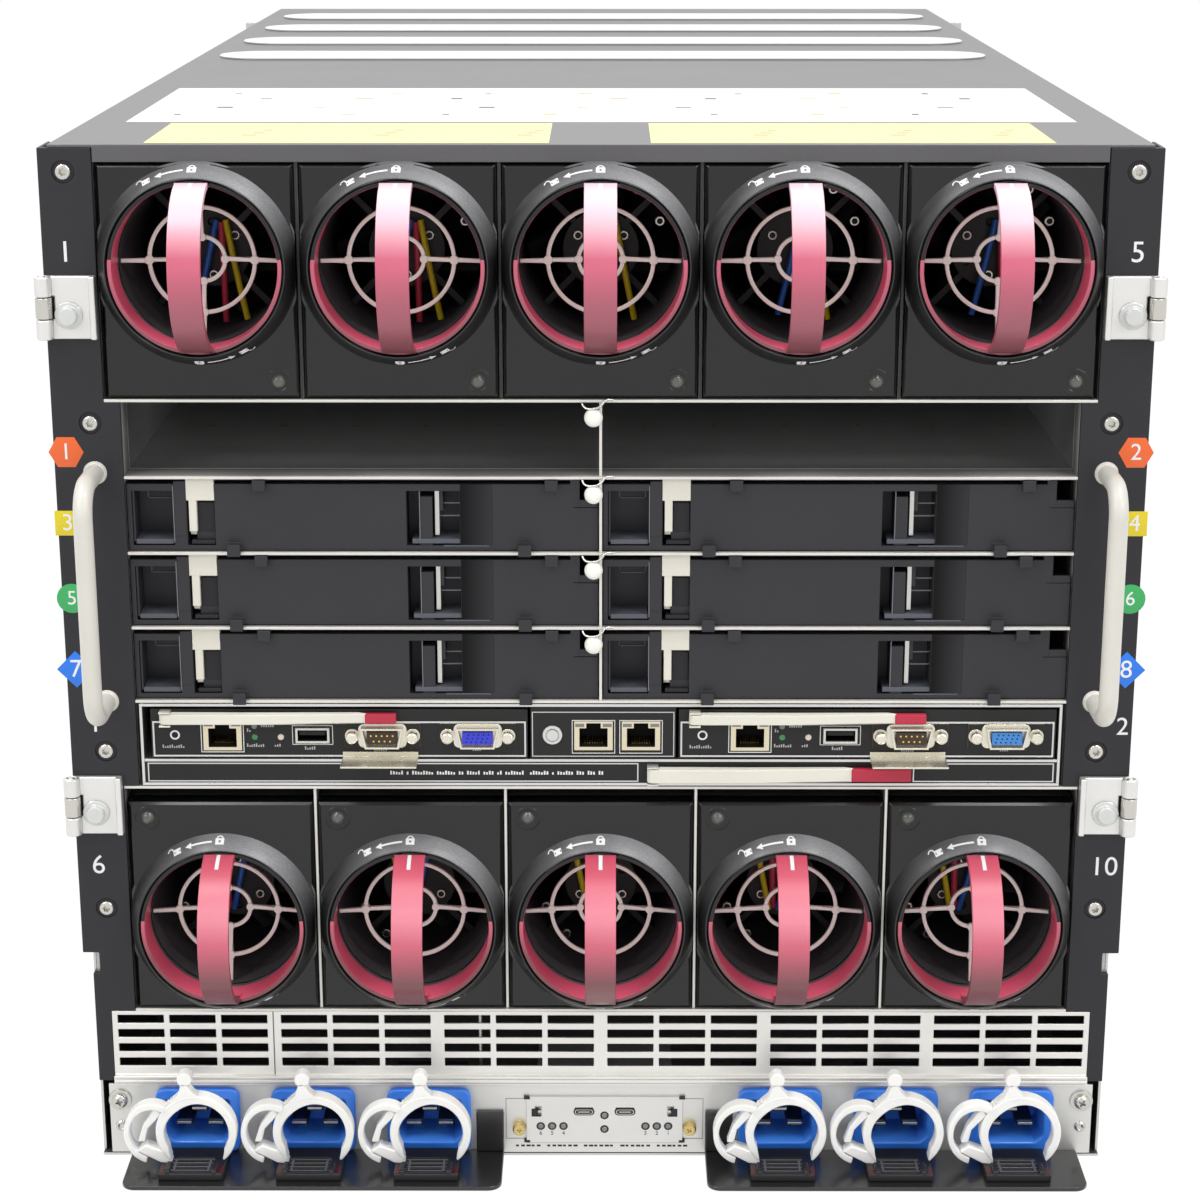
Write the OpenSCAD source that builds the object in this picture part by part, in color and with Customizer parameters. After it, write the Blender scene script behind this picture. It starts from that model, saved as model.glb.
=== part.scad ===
// Ten-unit blade server enclosure, seen from its rear service side.
// The rear face looks along -Y, +Z is up, and the origin is the centre of the base.

/* [Enclosure] */
// Width of the sheet-metal case
case_w = 439; // [430:1:446]
// Depth of the case from the rear face to the front face
case_d = 813; // [760:1:860]
// Thickness of the case and cage sheet
sheet_t = 1.2; // [1:0.1:1.6]
// Height of the rear lip of the top cover
lip_h = 7; // [5:0.5:9]
// Depth at which the midplane board stands, from the rear face
midplane_y = 300; // [285:1:330]
// Thickness of the midplane board
midplane_t = 4; // [3:0.5:6]

/* [Rear columns] */
// How far a column stands out past the case side
column_lip = 4; // [3:0.5:6]
// Thickness of a column strip
column_t = 2.5; // [2:0.1:3.5]
// Lower end of the columns above the base
column_foot_z = 36; // [33:0.5:38]
// Lower edge of the notch in each column
notch_z = 87; // [80:0.5:92]
// Height of the notch
notch_h = 9.5; // [6:0.5:12]
// Radius of a column screw's counterbore
screw_recess_r = 4.5; // [4:0.1:5]
// Radius of a column screw's head
screw_head_r = 3.1; // [2.6:0.1:3.6]

/* [Levels] */
// Underside of the lower fans
fan_low_z = 70.8; // [68:0.2:74]
// Underside of the sheet above the lower fans
deck_z = 171.6; // [170:0.2:176]
// Height of the management row
manage_h = 38.2; // [36:0.2:41]
// Height of one interconnect bay, sheet to sheet
bay_pitch = 32.1; // [31:0.1:33]
// Width of a column beside the interconnect bays
bay_side = 24.1; // [22:0.1:28]

/* [Fan modules] */
// Width of a column beside the fans
fan_side = 17.5; // [16:0.1:19]
// Height of a fan module
fan_h = 94.6; // [92:0.2:97]
// Depth of a fan module
fan_d = 190; // [170:1:210]
// Gap between a module and its dividers
fan_gap = 0.5; // [0.4:0.1:0.8]
// Wall between the round opening and the middle of the divider
mouth_wall = 5.2; // [4.6:0.1:6.4]
// How far the collar stands out of the face
collar_out = 9; // [6:0.5:12]
// Width of the collar's foot on the face
collar_foot = 5.8; // [3.8:0.1:7.8]
// Thickness of the collar at its rim
rim_t = 1.4; // [1.1:0.1:2.2]
// Step from the round opening down to the air duct
duct_step = 2.2; // [1.2:0.1:4.2]
// Depth of the grille's rim behind the face
grille_y = 11; // [10:0.5:14]
// Depth of the dish of the grille
grille_dish = 7; // [4:0.5:9]
// Width of a grille wire
grille_bar = 1.7; // [1.4:0.1:2.2]
// Distance of the grille's large ring from the duct's wall
grille_ring_in = 11.6; // [9:0.2:14]
// Centre radius of the grille's small ring
grille_hub_r = 9; // [7:0.2:11]

/* [Fan handle] */
// Running gap between the locking ring and the mouth
ring_gap = 0.35; // [0.3:0.05:0.5]
// Thickness of the locking ring's wall
ring_t = 1.8; // [1.4:0.1:2.4]
// Width of the strap
strap_w = 13; // [11:0.5:16]
// Thickness of the strap
strap_t = 2.6; // [2:0.1:3.4]

/* [Fan rotor] */
// Gap between the blade tips and the duct
tip_gap = 2; // [1.2:0.1:3]
// Radius of the rotor hub
hub_r = 14; // [12:0.5:16]
// Length of the rotor along its axis
rotor_l = 34; // [28:1:40]
// Number of blades
blades = 7; // [5:1:9]
// Pitch angle of a blade
blade_pitch = 38; // [25:1:50]
// Depth of the motor plate behind the face
motor_y = 46; // [40:1:60]

/* [Interconnect blanks] */
// Gap between a blank and its bay
blank_gap = 0.4; // [0.3:0.1:0.8]
// Gap above a blank's face
blank_head = 2.4; // [1.4:0.1:3]
// How far a blank's face lies behind the sheet edges
blank_in = 2; // [1:0.1:3]
// Depth of a blank's shell
blank_d = 60; // [45:1:80]
// Thickness of a blank's wall
blank_t = 2; // [1.6:0.1:2.6]

/* [Management modules] */
// Depth of the sleeve and its modules
sleeve_d = 180; // [150:1:220]
// Height of a management module's face
module_h = 21.6; // [20:0.2:22.4]
// Width of the block between the two management modules
middle_w = 61.2; // [60:0.2:64]
// Height of the strip under the modules
strip_h = 10.6; // [9.6:0.2:11.4]
// Thickness of the ivory levers
lever_t = 3.4; // [2.6:0.2:3.8]
// Radius of the round push button
button_r = 2.6; // [2.2:0.1:3]
// Travel of the push button
button_travel = 1.5; // [1:0.1:2]

/* [Vent and power] */
// Height of the vent grille
vent_h = 30; // [28:0.5:31]
// Length of a vent slot
slot_w = 20; // [18:0.5:21]
// Height of a vent slot
slot_h = 3.8; // [3:0.1:4.4]
// Distance of the vent's slot rows
slot_row = 6.75; // [6.2:0.05:7]
// Height of the power input panel
power_h = 33; // [31:0.5:34]
// Distance of the outer inlets from the ends of the panel
inlet_end = 35.5; // [34:0.1:38]
// Distance of the inner inlets from the middle of the panel
inlet_inner = 76.9; // [76:0.1:80]
// Width of an inlet's bezel
inlet_w = 36.8; // [35:0.2:39]
// Height of an inlet's bezel
inlet_h = 30; // [27:0.5:31]
// Depth of the clamp brackets behind the panel
bracket_d = 35; // [30:1:42]
// Gap between the rings of neighbouring cable clamps
clamp_gap = 15.7; // [14:0.1:18]
// Wall of a cable clamp's ring
clamp_t = 3; // [2.4:0.1:3.6]

/* [Carry handles and latches] */
// Radius of the handle rod
rod_r = 3.9; // [3:0.1:5]
// Height of the handle's lower foot
handle_z = 210.6; // [206:0.2:214]
// Distance of the handle's feet
handle_span = 98.2; // [90:0.2:104]
// How far the handle stands out
handle_out = 31; // [25:0.5:36]
// Height of a latch leaf
latch_h = 25.6; // [23:0.2:28]
// Radius of a latch knuckle
knuckle_r = 3.4; // [3:0.1:4]
// Radius of a latch pin
pin_r = 1.5; // [1.2:0.1:1.8]

/* [Front and rack] */
// Width over the front rack ears
ear_span = 482.6; // [482:0.1:483.4]
// Distance of the front face from the back of the ears
ear_set = 15; // [10:1:25]
// Radius of a rack screw hole
rack_hole_r = 3.5; // [3.2:0.1:3.8]

/* [Hidden] */
$fn = 48;

// Case
half_w = case_w / 2;
side_in = half_w - sheet_t;
column_half = half_w + column_lip;
notch_x = half_w - 3;
seat_gap = 0.3;
// Seam left between sheets and blocks that are riveted or pressed together
seam = 0.05;

// Levels from the base upward
shelf_z = fan_low_z - fan_gap - sheet_t;
row_z = deck_z + manage_h;
bays_top_z = row_z + 4 * bay_pitch;
fan_top_z = bays_top_z + sheet_t + fan_gap;
case_h = fan_top_z + fan_h + fan_gap + lip_h;
vent_z = shelf_z - vent_h;
power_z = sheet_t + seat_gap;

// Widths
fan_half_w = half_w - fan_side;
fan_pitch = fan_half_w / 2.5;
bay_half_w = half_w - bay_side;
fan_w = fan_pitch - sheet_t - 2 * fan_gap;
vent_half_w = half_w - 7;
vent_ridge_h = 4.2;
slot_group = (2 * vent_half_w + 1) / 6;
bay_w = bay_half_w - sheet_t / 2;

// Fan parts
fan_axis = fan_pitch / 2;
mouth_r = fan_pitch / 2 - mouth_wall;
collar_r = mouth_r + collar_foot;
rim_r = mouth_r + rim_t;
duct_r = mouth_r - duct_step;
grille_ring_r = duct_r - grille_ring_in;
bezel_d = 10;
ring_or = mouth_r - ring_gap;
ring_ir = ring_or - ring_t;
ring_front = -collar_out + 0.5;
ring_back = 8;
mouth_step = ring_back + seat_gap;
hoop_y = -3;
hoop_r = sqrt(ring_or * ring_or - strap_w * strap_w / 4);
tip_r = duct_r - tip_gap;
motor_plate_t = 5;
motor_stub = 6;
shaft_r = 2.5;
shaft_bore_r = shaft_r + seat_gap;
rotor_y = motor_y + motor_plate_t + motor_stub + 0.5;
lens_r = 2.8;
lens_x = fan_w / 2 - 8.3;
lens_z = fan_h - fan_axis - 7;

// Columns
latch_in = 18.4;
pin_gap = 0.1;
screw_z = [case_h - 10.8, bays_top_z - 8.7, deck_z + 16.8, notch_z + 30.2];
screw_x = [column_half - 10, bay_half_w + 12.6, bay_half_w + 13.4, column_half - 11.4];
screw_recess = 1;
screw_head_h = 1.9;
handle_x = bay_half_w + 11.6;
latch_z = [deck_z - 19.4, bays_top_z + 26.4];
pin_x = column_half - 0.2;

// Power row
power_mid_x = 1.7;
power_half_w = half_w - 4;
inlet_z = power_z + power_h / 2;
inlet_pitch = (power_half_w - power_mid_x - inlet_end - inlet_inner) / 2;
inlet_group_x = inlet_pitch + inlet_inner;
clamp_r = (inlet_pitch - clamp_gap) / 2;
inlet_xs = [for (s = [-1, 1]) for (i = [-1:1]) power_mid_x + s * inlet_group_x + i * inlet_pitch];
status_w = 68.5;
status_h = 22;

// Management row
sleeve_half_w = bay_half_w - 1.5;
sleeve_z = deck_z + sheet_t + 0.4;
sleeve_h = manage_h - sheet_t - 0.8;
strip_top = sleeve_z + strip_h;
module_z = strip_top + sheet_t + 0.5;
module_gap = 1.2;
module_end = 3.4;
module_w = (2 * (sleeve_half_w - sheet_t) - module_end - 3 * module_gap - middle_w) / 2;
module_x = [-sleeve_half_w + sheet_t + module_end, sleeve_half_w - sheet_t - module_gap - module_w];
middle_x0 = module_x[0] + module_w + module_gap;
middle_x1 = module_x[1] - module_gap;
lever_z = module_z + module_h - 5.4;
lever_h = 4.4;
sleeve_lever_h = 6.2;
strip_in = 0.6;
lug_t = 0.8;
lug_gap = 0.3;
eye_r = 2.4;
lever_pin_r = 1.1;
lever_bore_r = lever_pin_r + pin_gap;
lever_y = -eye_r - 0.4;
sleeve_pin = [22, sleeve_z + sheet_t + seam + lug_gap + lug_t];

// Front
ear_t = 2.5;
rack_x = 465.1 / 2;
rack_rise = 311.15;
rack_z = [(case_h - rack_rise) / 2, (case_h + rack_rise) / 2];

module at_rear() {
  translate([0, -case_d / 2, 0]) children();
}

// A box between two opposite corners
module block(a, b) {
  translate(a) cube(b - a);
}

// A flat outline in X and Z, given a thickness along +Y from y
module plate_xz(y, t) {
  translate([0, y + t, 0]) rotate([90, 0, 0]) linear_extrude(height = t) children();
}

// A cylinder along +Y
module rod_y(x, y, z, r, l) {
  translate([x, y, z]) rotate([-90, 0, 0]) cylinder(r = r, h = l);
}

module round_rect(w, h, r) {
  for (s = [-1, 1]) {
    translate([s * (w / 2 - r), h / 2 - r]) circle(r = r);
    translate([s * (w / 2 - r), r - h / 2]) circle(r = r);
  }
  square([w - 2 * r, h], center = true);
  square([w, h - 2 * r], center = true);
}

// Sheet-metal case -------------------------------------------------------

rib_count = 4;
rib_first_y = 421;
rib_pitch = 102;
rib_w = 46;
rib_h = 1.2;

module top_cover() {
  color([0.32, 0.33, 0.36]) at_rear() {
    union() {
      block([-half_w, 0, case_h - sheet_t], [half_w, case_d, case_h]);
      block([-fan_half_w + seat_gap, 0, case_h - lip_h], [fan_half_w - seat_gap, sheet_t, case_h]);
      for (i = [0 : rib_count - 1])
        translate([0, rib_first_y + i * rib_pitch, case_h - sheet_t / 2])
          linear_extrude(height = sheet_t / 2 + rib_h)
            round_rect(2 * half_w - 24, rib_w, rib_w / 2 - 0.1);
    }
  }
}

module lower_shell() {
  color([0.78, 0.78, 0.77]) at_rear() {
    block([-half_w, 0, 0], [half_w, case_d, sheet_t]);
    for (s = [0, 1]) mirror([s, 0, 0])
      block([side_in, column_t, sheet_t + seam], [half_w, case_d, case_h - sheet_t]);
  }
}

// Rear columns -----------------------------------------------------------

module column_outline() {
  top = case_h - sheet_t;
  polygon([
    [vent_half_w, column_foot_z], [half_w, column_foot_z],
    [half_w, notch_z], [notch_x, notch_z],
    [notch_x, notch_z + notch_h], [column_half, notch_z + notch_h],
    [column_half, top], [fan_half_w, top],
    [fan_half_w, bays_top_z], [bay_half_w, bays_top_z],
    [bay_half_w, deck_z + sheet_t], [fan_half_w, deck_z + sheet_t],
    [fan_half_w, shelf_z], [vent_half_w, shelf_z]
  ]);
}

module rear_columns() {
  color([0.2, 0.21, 0.23]) at_rear() for (s = [0, 1]) mirror([s, 0, 0]) difference() {
    union() {
      plate_xz(0, column_t) column_outline();
      block([column_half - 1.5, column_t, notch_z + notch_h], [column_half, 22, case_h - sheet_t]);
    }
    for (i = [0:3]) {
      rod_y(screw_x[i], -1, screw_z[i], screw_recess_r, 1 + screw_recess);
      rod_y(screw_x[i], -1, screw_z[i], screw_head_r / 2, column_t + 2);
    }
  }
}

// Rear cage of galvanised sheet ------------------------------------------

module cage_liner(x, z0, z1) {
  block([x, column_t + sheet_t + seam, z0 + seam], [x + sheet_t, midplane_y, z1 - seam]);
  block([x, column_t, z0 + seam], [side_in, column_t + sheet_t, z1 - seam]);
}

module fan_dividers(z0, z1) {
  for (i = [-1.5:1.5])
    block([i * fan_pitch - sheet_t / 2, 1, z0 + seam], [i * fan_pitch + sheet_t / 2, fan_d + 5, z1 - seam]);
}

module rear_cage() {
  top = case_h - sheet_t;
  color([0.72, 0.72, 0.7]) at_rear() {
    for (z = [shelf_z, deck_z, bays_top_z])
      block([seam - fan_half_w, 0, z], [fan_half_w - seam, midplane_y - seam, z + sheet_t]);
    for (i = [0:3]) {
      z = row_z + i * bay_pitch;
      block([seam - bay_half_w, 0, z], [bay_half_w - seam, midplane_y - seam, z + sheet_t]);
      block([-sheet_t / 2, 0, z + sheet_t + seam], [sheet_t / 2, midplane_y - seam, z + bay_pitch - seam]);
    }
    fan_dividers(shelf_z + sheet_t, deck_z);
    fan_dividers(bays_top_z + sheet_t, top);
    for (s = [0, 1]) mirror([s, 0, 0]) {
      cage_liner(fan_half_w, shelf_z, deck_z + sheet_t);
      cage_liner(bay_half_w, deck_z + sheet_t, bays_top_z);
      cage_liner(fan_half_w, bays_top_z, top);
      block([vent_half_w, column_t, column_foot_z], [side_in, column_t + sheet_t, shelf_z - seam]);
    }
  }
}

// Plugs toward the interconnect bays and toward the front device bays
bay_plug = [70, 18, 9];
zone_plug = [22, 16, 80];

module midplane() {
  color([0.12, 0.3, 0.2]) at_rear() {
    block([-bay_half_w, midplane_y, shelf_z + sheet_t + seam],
      [bay_half_w, midplane_y + midplane_t, case_h - sheet_t]);
  }
  color([0.15, 0.15, 0.16]) at_rear() {
    for (s = [-1, 1]) for (i = [0:3])
      translate([s * bay_w / 2, midplane_y - bay_plug[1] / 2 - seam, row_z + (i + 0.5) * bay_pitch])
        cube(bay_plug, center = true);
    for (i = [-1.5:1.5]) for (z = [shelf_z + zone_plug[2], case_h - zone_plug[2]])
      translate([i * zone_pitch, midplane_y + midplane_t + zone_plug[1] / 2 + seam, z])
        cube(zone_plug, center = true);
  }
}

// Front half -------------------------------------------------------------

zone_pitch = 2 * side_in / 4;

module front_cage() {
  y0 = midplane_y + midplane_t;
  color([0.6, 0.6, 0.6]) at_rear() {
    block([-side_in, y0 + seam, shelf_z], [side_in, case_d, shelf_z + sheet_t]);
    for (i = [-1:1])
      block([i * zone_pitch - sheet_t / 2, y0 + seam, shelf_z + sheet_t + seam],
        [i * zone_pitch + sheet_t / 2, case_d, case_h - sheet_t]);
    block([-sheet_t / 2, midplane_y, sheet_t], [sheet_t / 2, case_d, shelf_z - seam]);
    for (s = [0, 1]) mirror([s, 0, 0]) {
      difference() {
        block([half_w, case_d - ear_set - ear_t, 8], [ear_span / 2, case_d - ear_set, case_h - 8]);
        for (z = rack_z) rod_y(rack_x, case_d - ear_set - ear_t - 1, z, rack_hole_r, ear_t + 2);
      }
      block([half_w, case_d - ear_set - 30, 8], [half_w + ear_t, case_d - ear_set - ear_t - seam, case_h - 8]);
    }
  }
}

// Fan modules ------------------------------------------------------------
// Each is drawn round its own axis, at the face, with the long end up.

// A box whose front edges are chamfered
module chamfered_box(x, z0, z1, d, c) {
  intersection() {
    translate([0, 0, z0]) linear_extrude(height = z1 - z0)
      polygon([[-x, c], [c - x, 0], [x - c, 0], [x, c], [x, d], [-x, d]]);
    rotate([90, 0, 90]) translate([0, 0, -x]) linear_extrude(height = 2 * x)
      polygon([[c, z0], [0, z0 + c], [0, z1 - c], [c, z1], [d, z1], [d, z0]]);
  }
}

module fan_collar() {
  intersection() {
    rotate([90, 0, 0]) rotate_extrude() polygon([
      [mouth_r - 1, -2], [collar_r, -2], [collar_r, 0], [rim_r + 1, collar_out - 1.2],
      [rim_r, collar_out], [mouth_r - 1, collar_out]
    ]);
    block([-fan_w / 2, -collar_out - 1, -fan_axis], [fan_w / 2, 3, fan_h - fan_axis]);
  }
}

// Front moulding with the collar and the mouth
module fan_bezel() {
  difference() {
    union() {
      chamfered_box(fan_w / 2, -fan_axis, fan_h - fan_axis, bezel_d, 1.4);
      fan_collar();
    }
    rod_y(0, -collar_out - 1, 0, mouth_r, collar_out + 1 + mouth_step);
    rod_y(0, 0, 0, duct_r, bezel_d + 1);
    rod_y(-lens_x, -1, lens_z, lens_r + 2, 2.2);
  }
}

// Duct block clipped behind the front moulding
module fan_duct() {
  difference() {
    block([-fan_w / 2, bezel_d + seam, -fan_axis], [fan_w / 2, fan_d, fan_h - fan_axis]);
    rod_y(0, 0, 0, duct_r, fan_d + 1);
  }
}

// Motor plate on four struts, with the bearing's stub behind
module motor_bracket() {
  difference() {
    union() {
      rod_y(0, motor_y, 0, hub_r + 2, motor_plate_t);
      for (a = [45:90:315]) rotate([0, a, 0])
        block([hub_r, motor_y, -1.5], [duct_r - seam, motor_y + motor_plate_t, 1.5]);
      rod_y(0, motor_y + motor_plate_t, 0, hub_r - 3, motor_stub);
    }
    rod_y(0, motor_y + 2, 0, shaft_bore_r, motor_plate_t + motor_stub);
    for (a = [30:120:270]) rod_y(11 * cos(a), motor_y - 1, 11 * sin(a), 1.6, 2);
  }
}

module grille_ring(r) {
  y = grille_y + grille_dish * (1 - r / duct_r);
  translate([0, y, 0]) rotate([-90, 0, 0]) difference() {
    cylinder(r = r + grille_bar / 2, h = grille_bar);
    translate([0, 0, -1]) cylinder(r = r - grille_bar / 2, h = grille_bar + 2);
  }
}

// Wire grille dished inward to its hub ring
module fan_grille() {
  arm_end = duct_r - 0.2;
  arm_in = grille_hub_r;
  slope = atan(grille_dish / duct_r);
  union() {
    grille_ring(grille_ring_r);
    grille_ring(grille_hub_r);
    for (a = [0:90:270]) rotate([0, a, 0])
      translate([0, grille_y + grille_dish, 0]) rotate([0, 0, -slope])
        block([arm_in / cos(slope), 0.1, -grille_bar / 2],
          [(arm_end - 0.2) / cos(slope), grille_bar - 0.1, grille_bar / 2]);
  }
}

module fan_lens() {
  translate([-lens_x, 1.2 - seam, lens_z]) rotate([90, 0, 0]) {
    cylinder(r = lens_r, h = 1.2);
    translate([0, 0, 1.2]) cylinder(r1 = lens_r, r2 = lens_r - 1.1, h = 0.9);
  }
}

// Places a fan part: 1 to 5 in the upper row, turned over, 6 to 10 below
module at_fan(i, turn = true) {
  upper = i <= 5;
  x = ((i - 1) % 5 - 2) * fan_pitch;
  z = upper ? fan_top_z + fan_h - fan_axis : fan_low_z + fan_axis;
  at_rear() translate([x, 0, z]) rotate([0, (upper && turn) ? 180 : 0, 0]) children();
}

module fan_module(i) {
  at_fan(i) {
    color([0.06, 0.06, 0.07]) {
      fan_bezel();
      fan_duct();
      motor_bracket();
    }
    color([0.7, 0.69, 0.66]) fan_grille();
    color([0.35, 0.37, 0.35]) fan_lens();
  }
}

// Locking ring with the hoop strap that turns and pulls the module
module fan_handle(i) {
  color([0.72, 0.2, 0.32]) at_fan(i, false) {
    union() {
      difference() {
        rod_y(0, ring_front, 0, ring_or, ring_back - ring_front);
        rod_y(0, ring_front - 1, 0, ring_ir, ring_back - ring_front + 2);
      }
      translate([-strap_w / 2, hoop_y, 0]) rotate([0, 90, 0]) linear_extrude(height = strap_w)
        difference() {
          circle(r = hoop_r, $fn = 96);
          circle(r = hoop_r - strap_t, $fn = 96);
          translate([-2 * hoop_r, 0]) square([4 * hoop_r, 2 * hoop_r]);
        }
    }
  }
}

// Seven cambered blades on a hub, with the shaft into the motor's bearing
module fan_rotor(i) {
  camber_r = 34;
  chord = rotor_l * 0.9;
  color([0.09, 0.09, 0.1]) at_fan(i, false) translate([0, rotor_y, 0]) {
    rod_y(0, 0, 0, hub_r, rotor_l);
    rod_y(0, -motor_stub - 2, 0, shaft_r, motor_stub + 3);
    intersection() {
      rod_y(0, 0, 0, tip_r, rotor_l);
      for (a = [0 : blades - 1]) rotate([0, a * 360 / blades, 0])
        translate([hub_r - 1.5, rotor_l / 2, 0]) rotate([0, 90, 0]) rotate([0, 0, blade_pitch])
          linear_extrude(height = tip_r - hub_r + 3) intersection() {
            translate([camber_r, 0]) difference() {
              circle(r = camber_r, $fn = 96);
              circle(r = camber_r - 1.6, $fn = 96);
            }
            square([chord, chord], center = true);
          }
    }
  }
}

// Interconnect bays' blanks -----------------------------------------------

// Finger pocket: a box open to the front, sunk behind the face
module pocket_wall(x, z, w, h, d) {
  block([x - blank_t, 0, z - blank_t], [x + w + blank_t, d + blank_t, z + h + blank_t]);
}

module pocket_hole(x, z, w, h, d) {
  block([x, -1, z], [x + w, d, z + h]);
}

clip_w = 5.4;
blank_w = bay_w - 2 * blank_gap;
top_clip_x = [52, blank_w - 22];
low_clip_x = [41, blank_w - 33];
knob_notch = 10;

// Lower clip, which reaches down in front of the sheet's edge
module low_clip(x) {
  block([x, -0.4 - blank_in, 0], [x + clip_w, 0, 3.2]);
  block([x, -2.4 - blank_in, -blank_gap - sheet_t - 0.2], [x + clip_w, -0.4 - blank_in, 3.2]);
}

module top_clip(x, h) {
  block([x, -0.8 - blank_in, h - 2.6], [x + clip_w, 0, h + blank_head - seat_gap]);
}

module bay_blank(i) {
  w = blank_w;
  h = bay_pitch - sheet_t - blank_gap - blank_head;
  column = (i - 1) % 2;
  row = 2 - floor((i - 1) / 2);
  x0 = column == 0 ? blank_gap - bay_half_w : sheet_t / 2 + blank_gap;
  finger_w = 34;
  grip_x = 115;
  grip_w = 22;
  pocket_d = 13;
  hole_h = h - 2 * blank_t - 1;
  at_rear() translate([x0, blank_in, row_z + row * bay_pitch + sheet_t + blank_gap]) {
    color([0.21, 0.22, 0.25]) {
      difference() {
        union() {
          difference() {
            block([0, 0, 0], [w, blank_d, h]);
            block([blank_t, blank_t, blank_t], [w - blank_t, blank_d + 1, h - blank_t]);
          }
          pocket_wall(blank_t, blank_t, finger_w, hole_h, pocket_d);
          pocket_wall(grip_x, blank_t, grip_w, hole_h, pocket_d);
          block([w - knob_notch - blank_t, 0, h - knob_notch - blank_t], [w, blank_d, h]);
        }
        pocket_hole(blank_t, blank_t, finger_w, hole_h, pocket_d);
        pocket_hole(grip_x, blank_t, grip_w, hole_h, pocket_d);
        block([w - knob_notch, -1, h - knob_notch], [w + 1, blank_d + 1, h + 1]);
      }
      block([blank_t + 17, 0, blank_t], [blank_t + 22.5, pocket_d, blank_t + hole_h - 2.5]);
      block([grip_x + 5.3, 1, blank_t], [grip_x + 10.6, pocket_d, blank_t + hole_h - 2.5]);
      block([blank_t + 26, 2.5, blank_t], [blank_t + finger_w, pocket_d, blank_t + 14.5]);
      for (x = top_clip_x) top_clip(x, h);
      for (x = low_clip_x) low_clip(x);
    }
    color([0.92, 0.9, 0.82])
      block([blank_t + 23.2, 5, blank_t + 15],
        [blank_t + finger_w - seam, pocket_d - seam, blank_t + hole_h - seam]);
  }
}

// Management row ----------------------------------------------------------

jack_w = 16.4;
jack_h = 13;
jack_hole = [11.8, 8.2];
jack_d = 14;

// Network socket: a metal-shelled block with its plug opening
module jack(x, z) {
  difference() {
    block([x - jack_w / 2 + seam, -0.3, z - jack_h / 2 + seam],
      [x + jack_w / 2 - seam, jack_d + 1.5 - seam, z + jack_h / 2 - seam]);
    block([x - jack_hole[0] / 2, -1, z - jack_hole[1] / 2 - 0.8],
      [x + jack_hole[0] / 2, jack_d, z + jack_hole[1] / 2 - 0.8]);
    block([x - 3, -1, z], [x + 3, jack_d, z + jack_h / 2 - 1]);
  }
}

module jack_window(x, z) {
  block([x - jack_w / 2, -2, z - jack_h / 2], [x + jack_w / 2, jack_d + 1.5, z + jack_h / 2]);
}

video_x = module_w - 21;
serial_x = video_x - 40.1;
usb_x = serial_x - 29.5;
port_z = 10.2;
jack_x = 30;
shell_w = 17.6;
shell_h = 9;

// D-shaped shell with its two jack screws
module d_shell(x) {
  difference() {
    union() {
      translate([x, -seam, port_z]) rotate([90, 0, 0]) linear_extrude(height = 5.6) d_outline(0);
      block([x - 16, -0.8 - seam, port_z - 5.4], [x + 16, -seam, port_z + 5.4]);
    }
    translate([x, -0.8, port_z]) rotate([90, 0, 0]) linear_extrude(height = 6) d_outline(-0.8);
  }
  for (s = [-1, 1]) rod_y(x + s * 12.7, -5, port_z, 2.4, 4.2 - 2 * seam);
}

module d_outline(o) {
  a = shell_w / 2 + o;
  b = shell_h / 2 + o;
  polygon([[-a, b], [a, b], [a - 1.6, -b], [1.6 - a, -b]]);
}

module usb_shell() {
  difference() {
    block([usb_x - 7.2, -1.2, port_z - 3.4], [usb_x + 7.2, -seam, port_z + 3.4]);
    block([usb_x - 6.2, -2, port_z - 2.4], [usb_x + 6.2, 1, port_z + 2.4]);
  }
  block([usb_x - 5.5, -1, port_z + 0.2], [usb_x + 5.5, 13 - seam, port_z + 2]);
}

// Angle plate at the foot of the face, pulled by its tongue
module pull_tab() {
  block([pull_x, -pull_t - seam, 0.1], [pull_x + pull_w, -seam, 3]);
  block([pull_x, -pull_out, 0.1], [pull_x + pull_w, -pull_t, 0.1 + pull_t]);
}

module lever_lugs(x, z, h) {
  for (k = [0, 1]) {
    zl = k == 0 ? z - lug_gap - lug_t : z + h + lug_gap;
    block([x - eye_r, lever_y - eye_r, zl], [x + eye_r, -seam, zl + lug_t]);
  }
  translate([x, lever_y, z - lug_gap]) cylinder(r = lever_pin_r, h = h + 2 * lug_gap);
}

module lever_arm(x, z, l, h) {
  difference() {
    union() {
      translate([x, lever_y, z]) cylinder(r = eye_r, h = h);
      translate([x, lever_y, z]) linear_extrude(height = h) polygon([
        [0, eye_r], [l * 0.5, eye_r - 0.4], [l - 3, eye_r], [l, eye_r - 1],
        [l, eye_r - lever_t * 0.8], [l * 0.5, -eye_r], [0, -eye_r]
      ]);
    }
    translate([x, lever_y, z - 1]) cylinder(r = lever_bore_r, h = h + 2);
  }
}

pull_x = module_w - 78;
pull_w = 31.8;
pull_t = 0.8;
pull_out = 14;
lever_x = 6.6;
lever_l = 84;
tab_l = 13;
sleeve_tab_l = 25;

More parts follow.
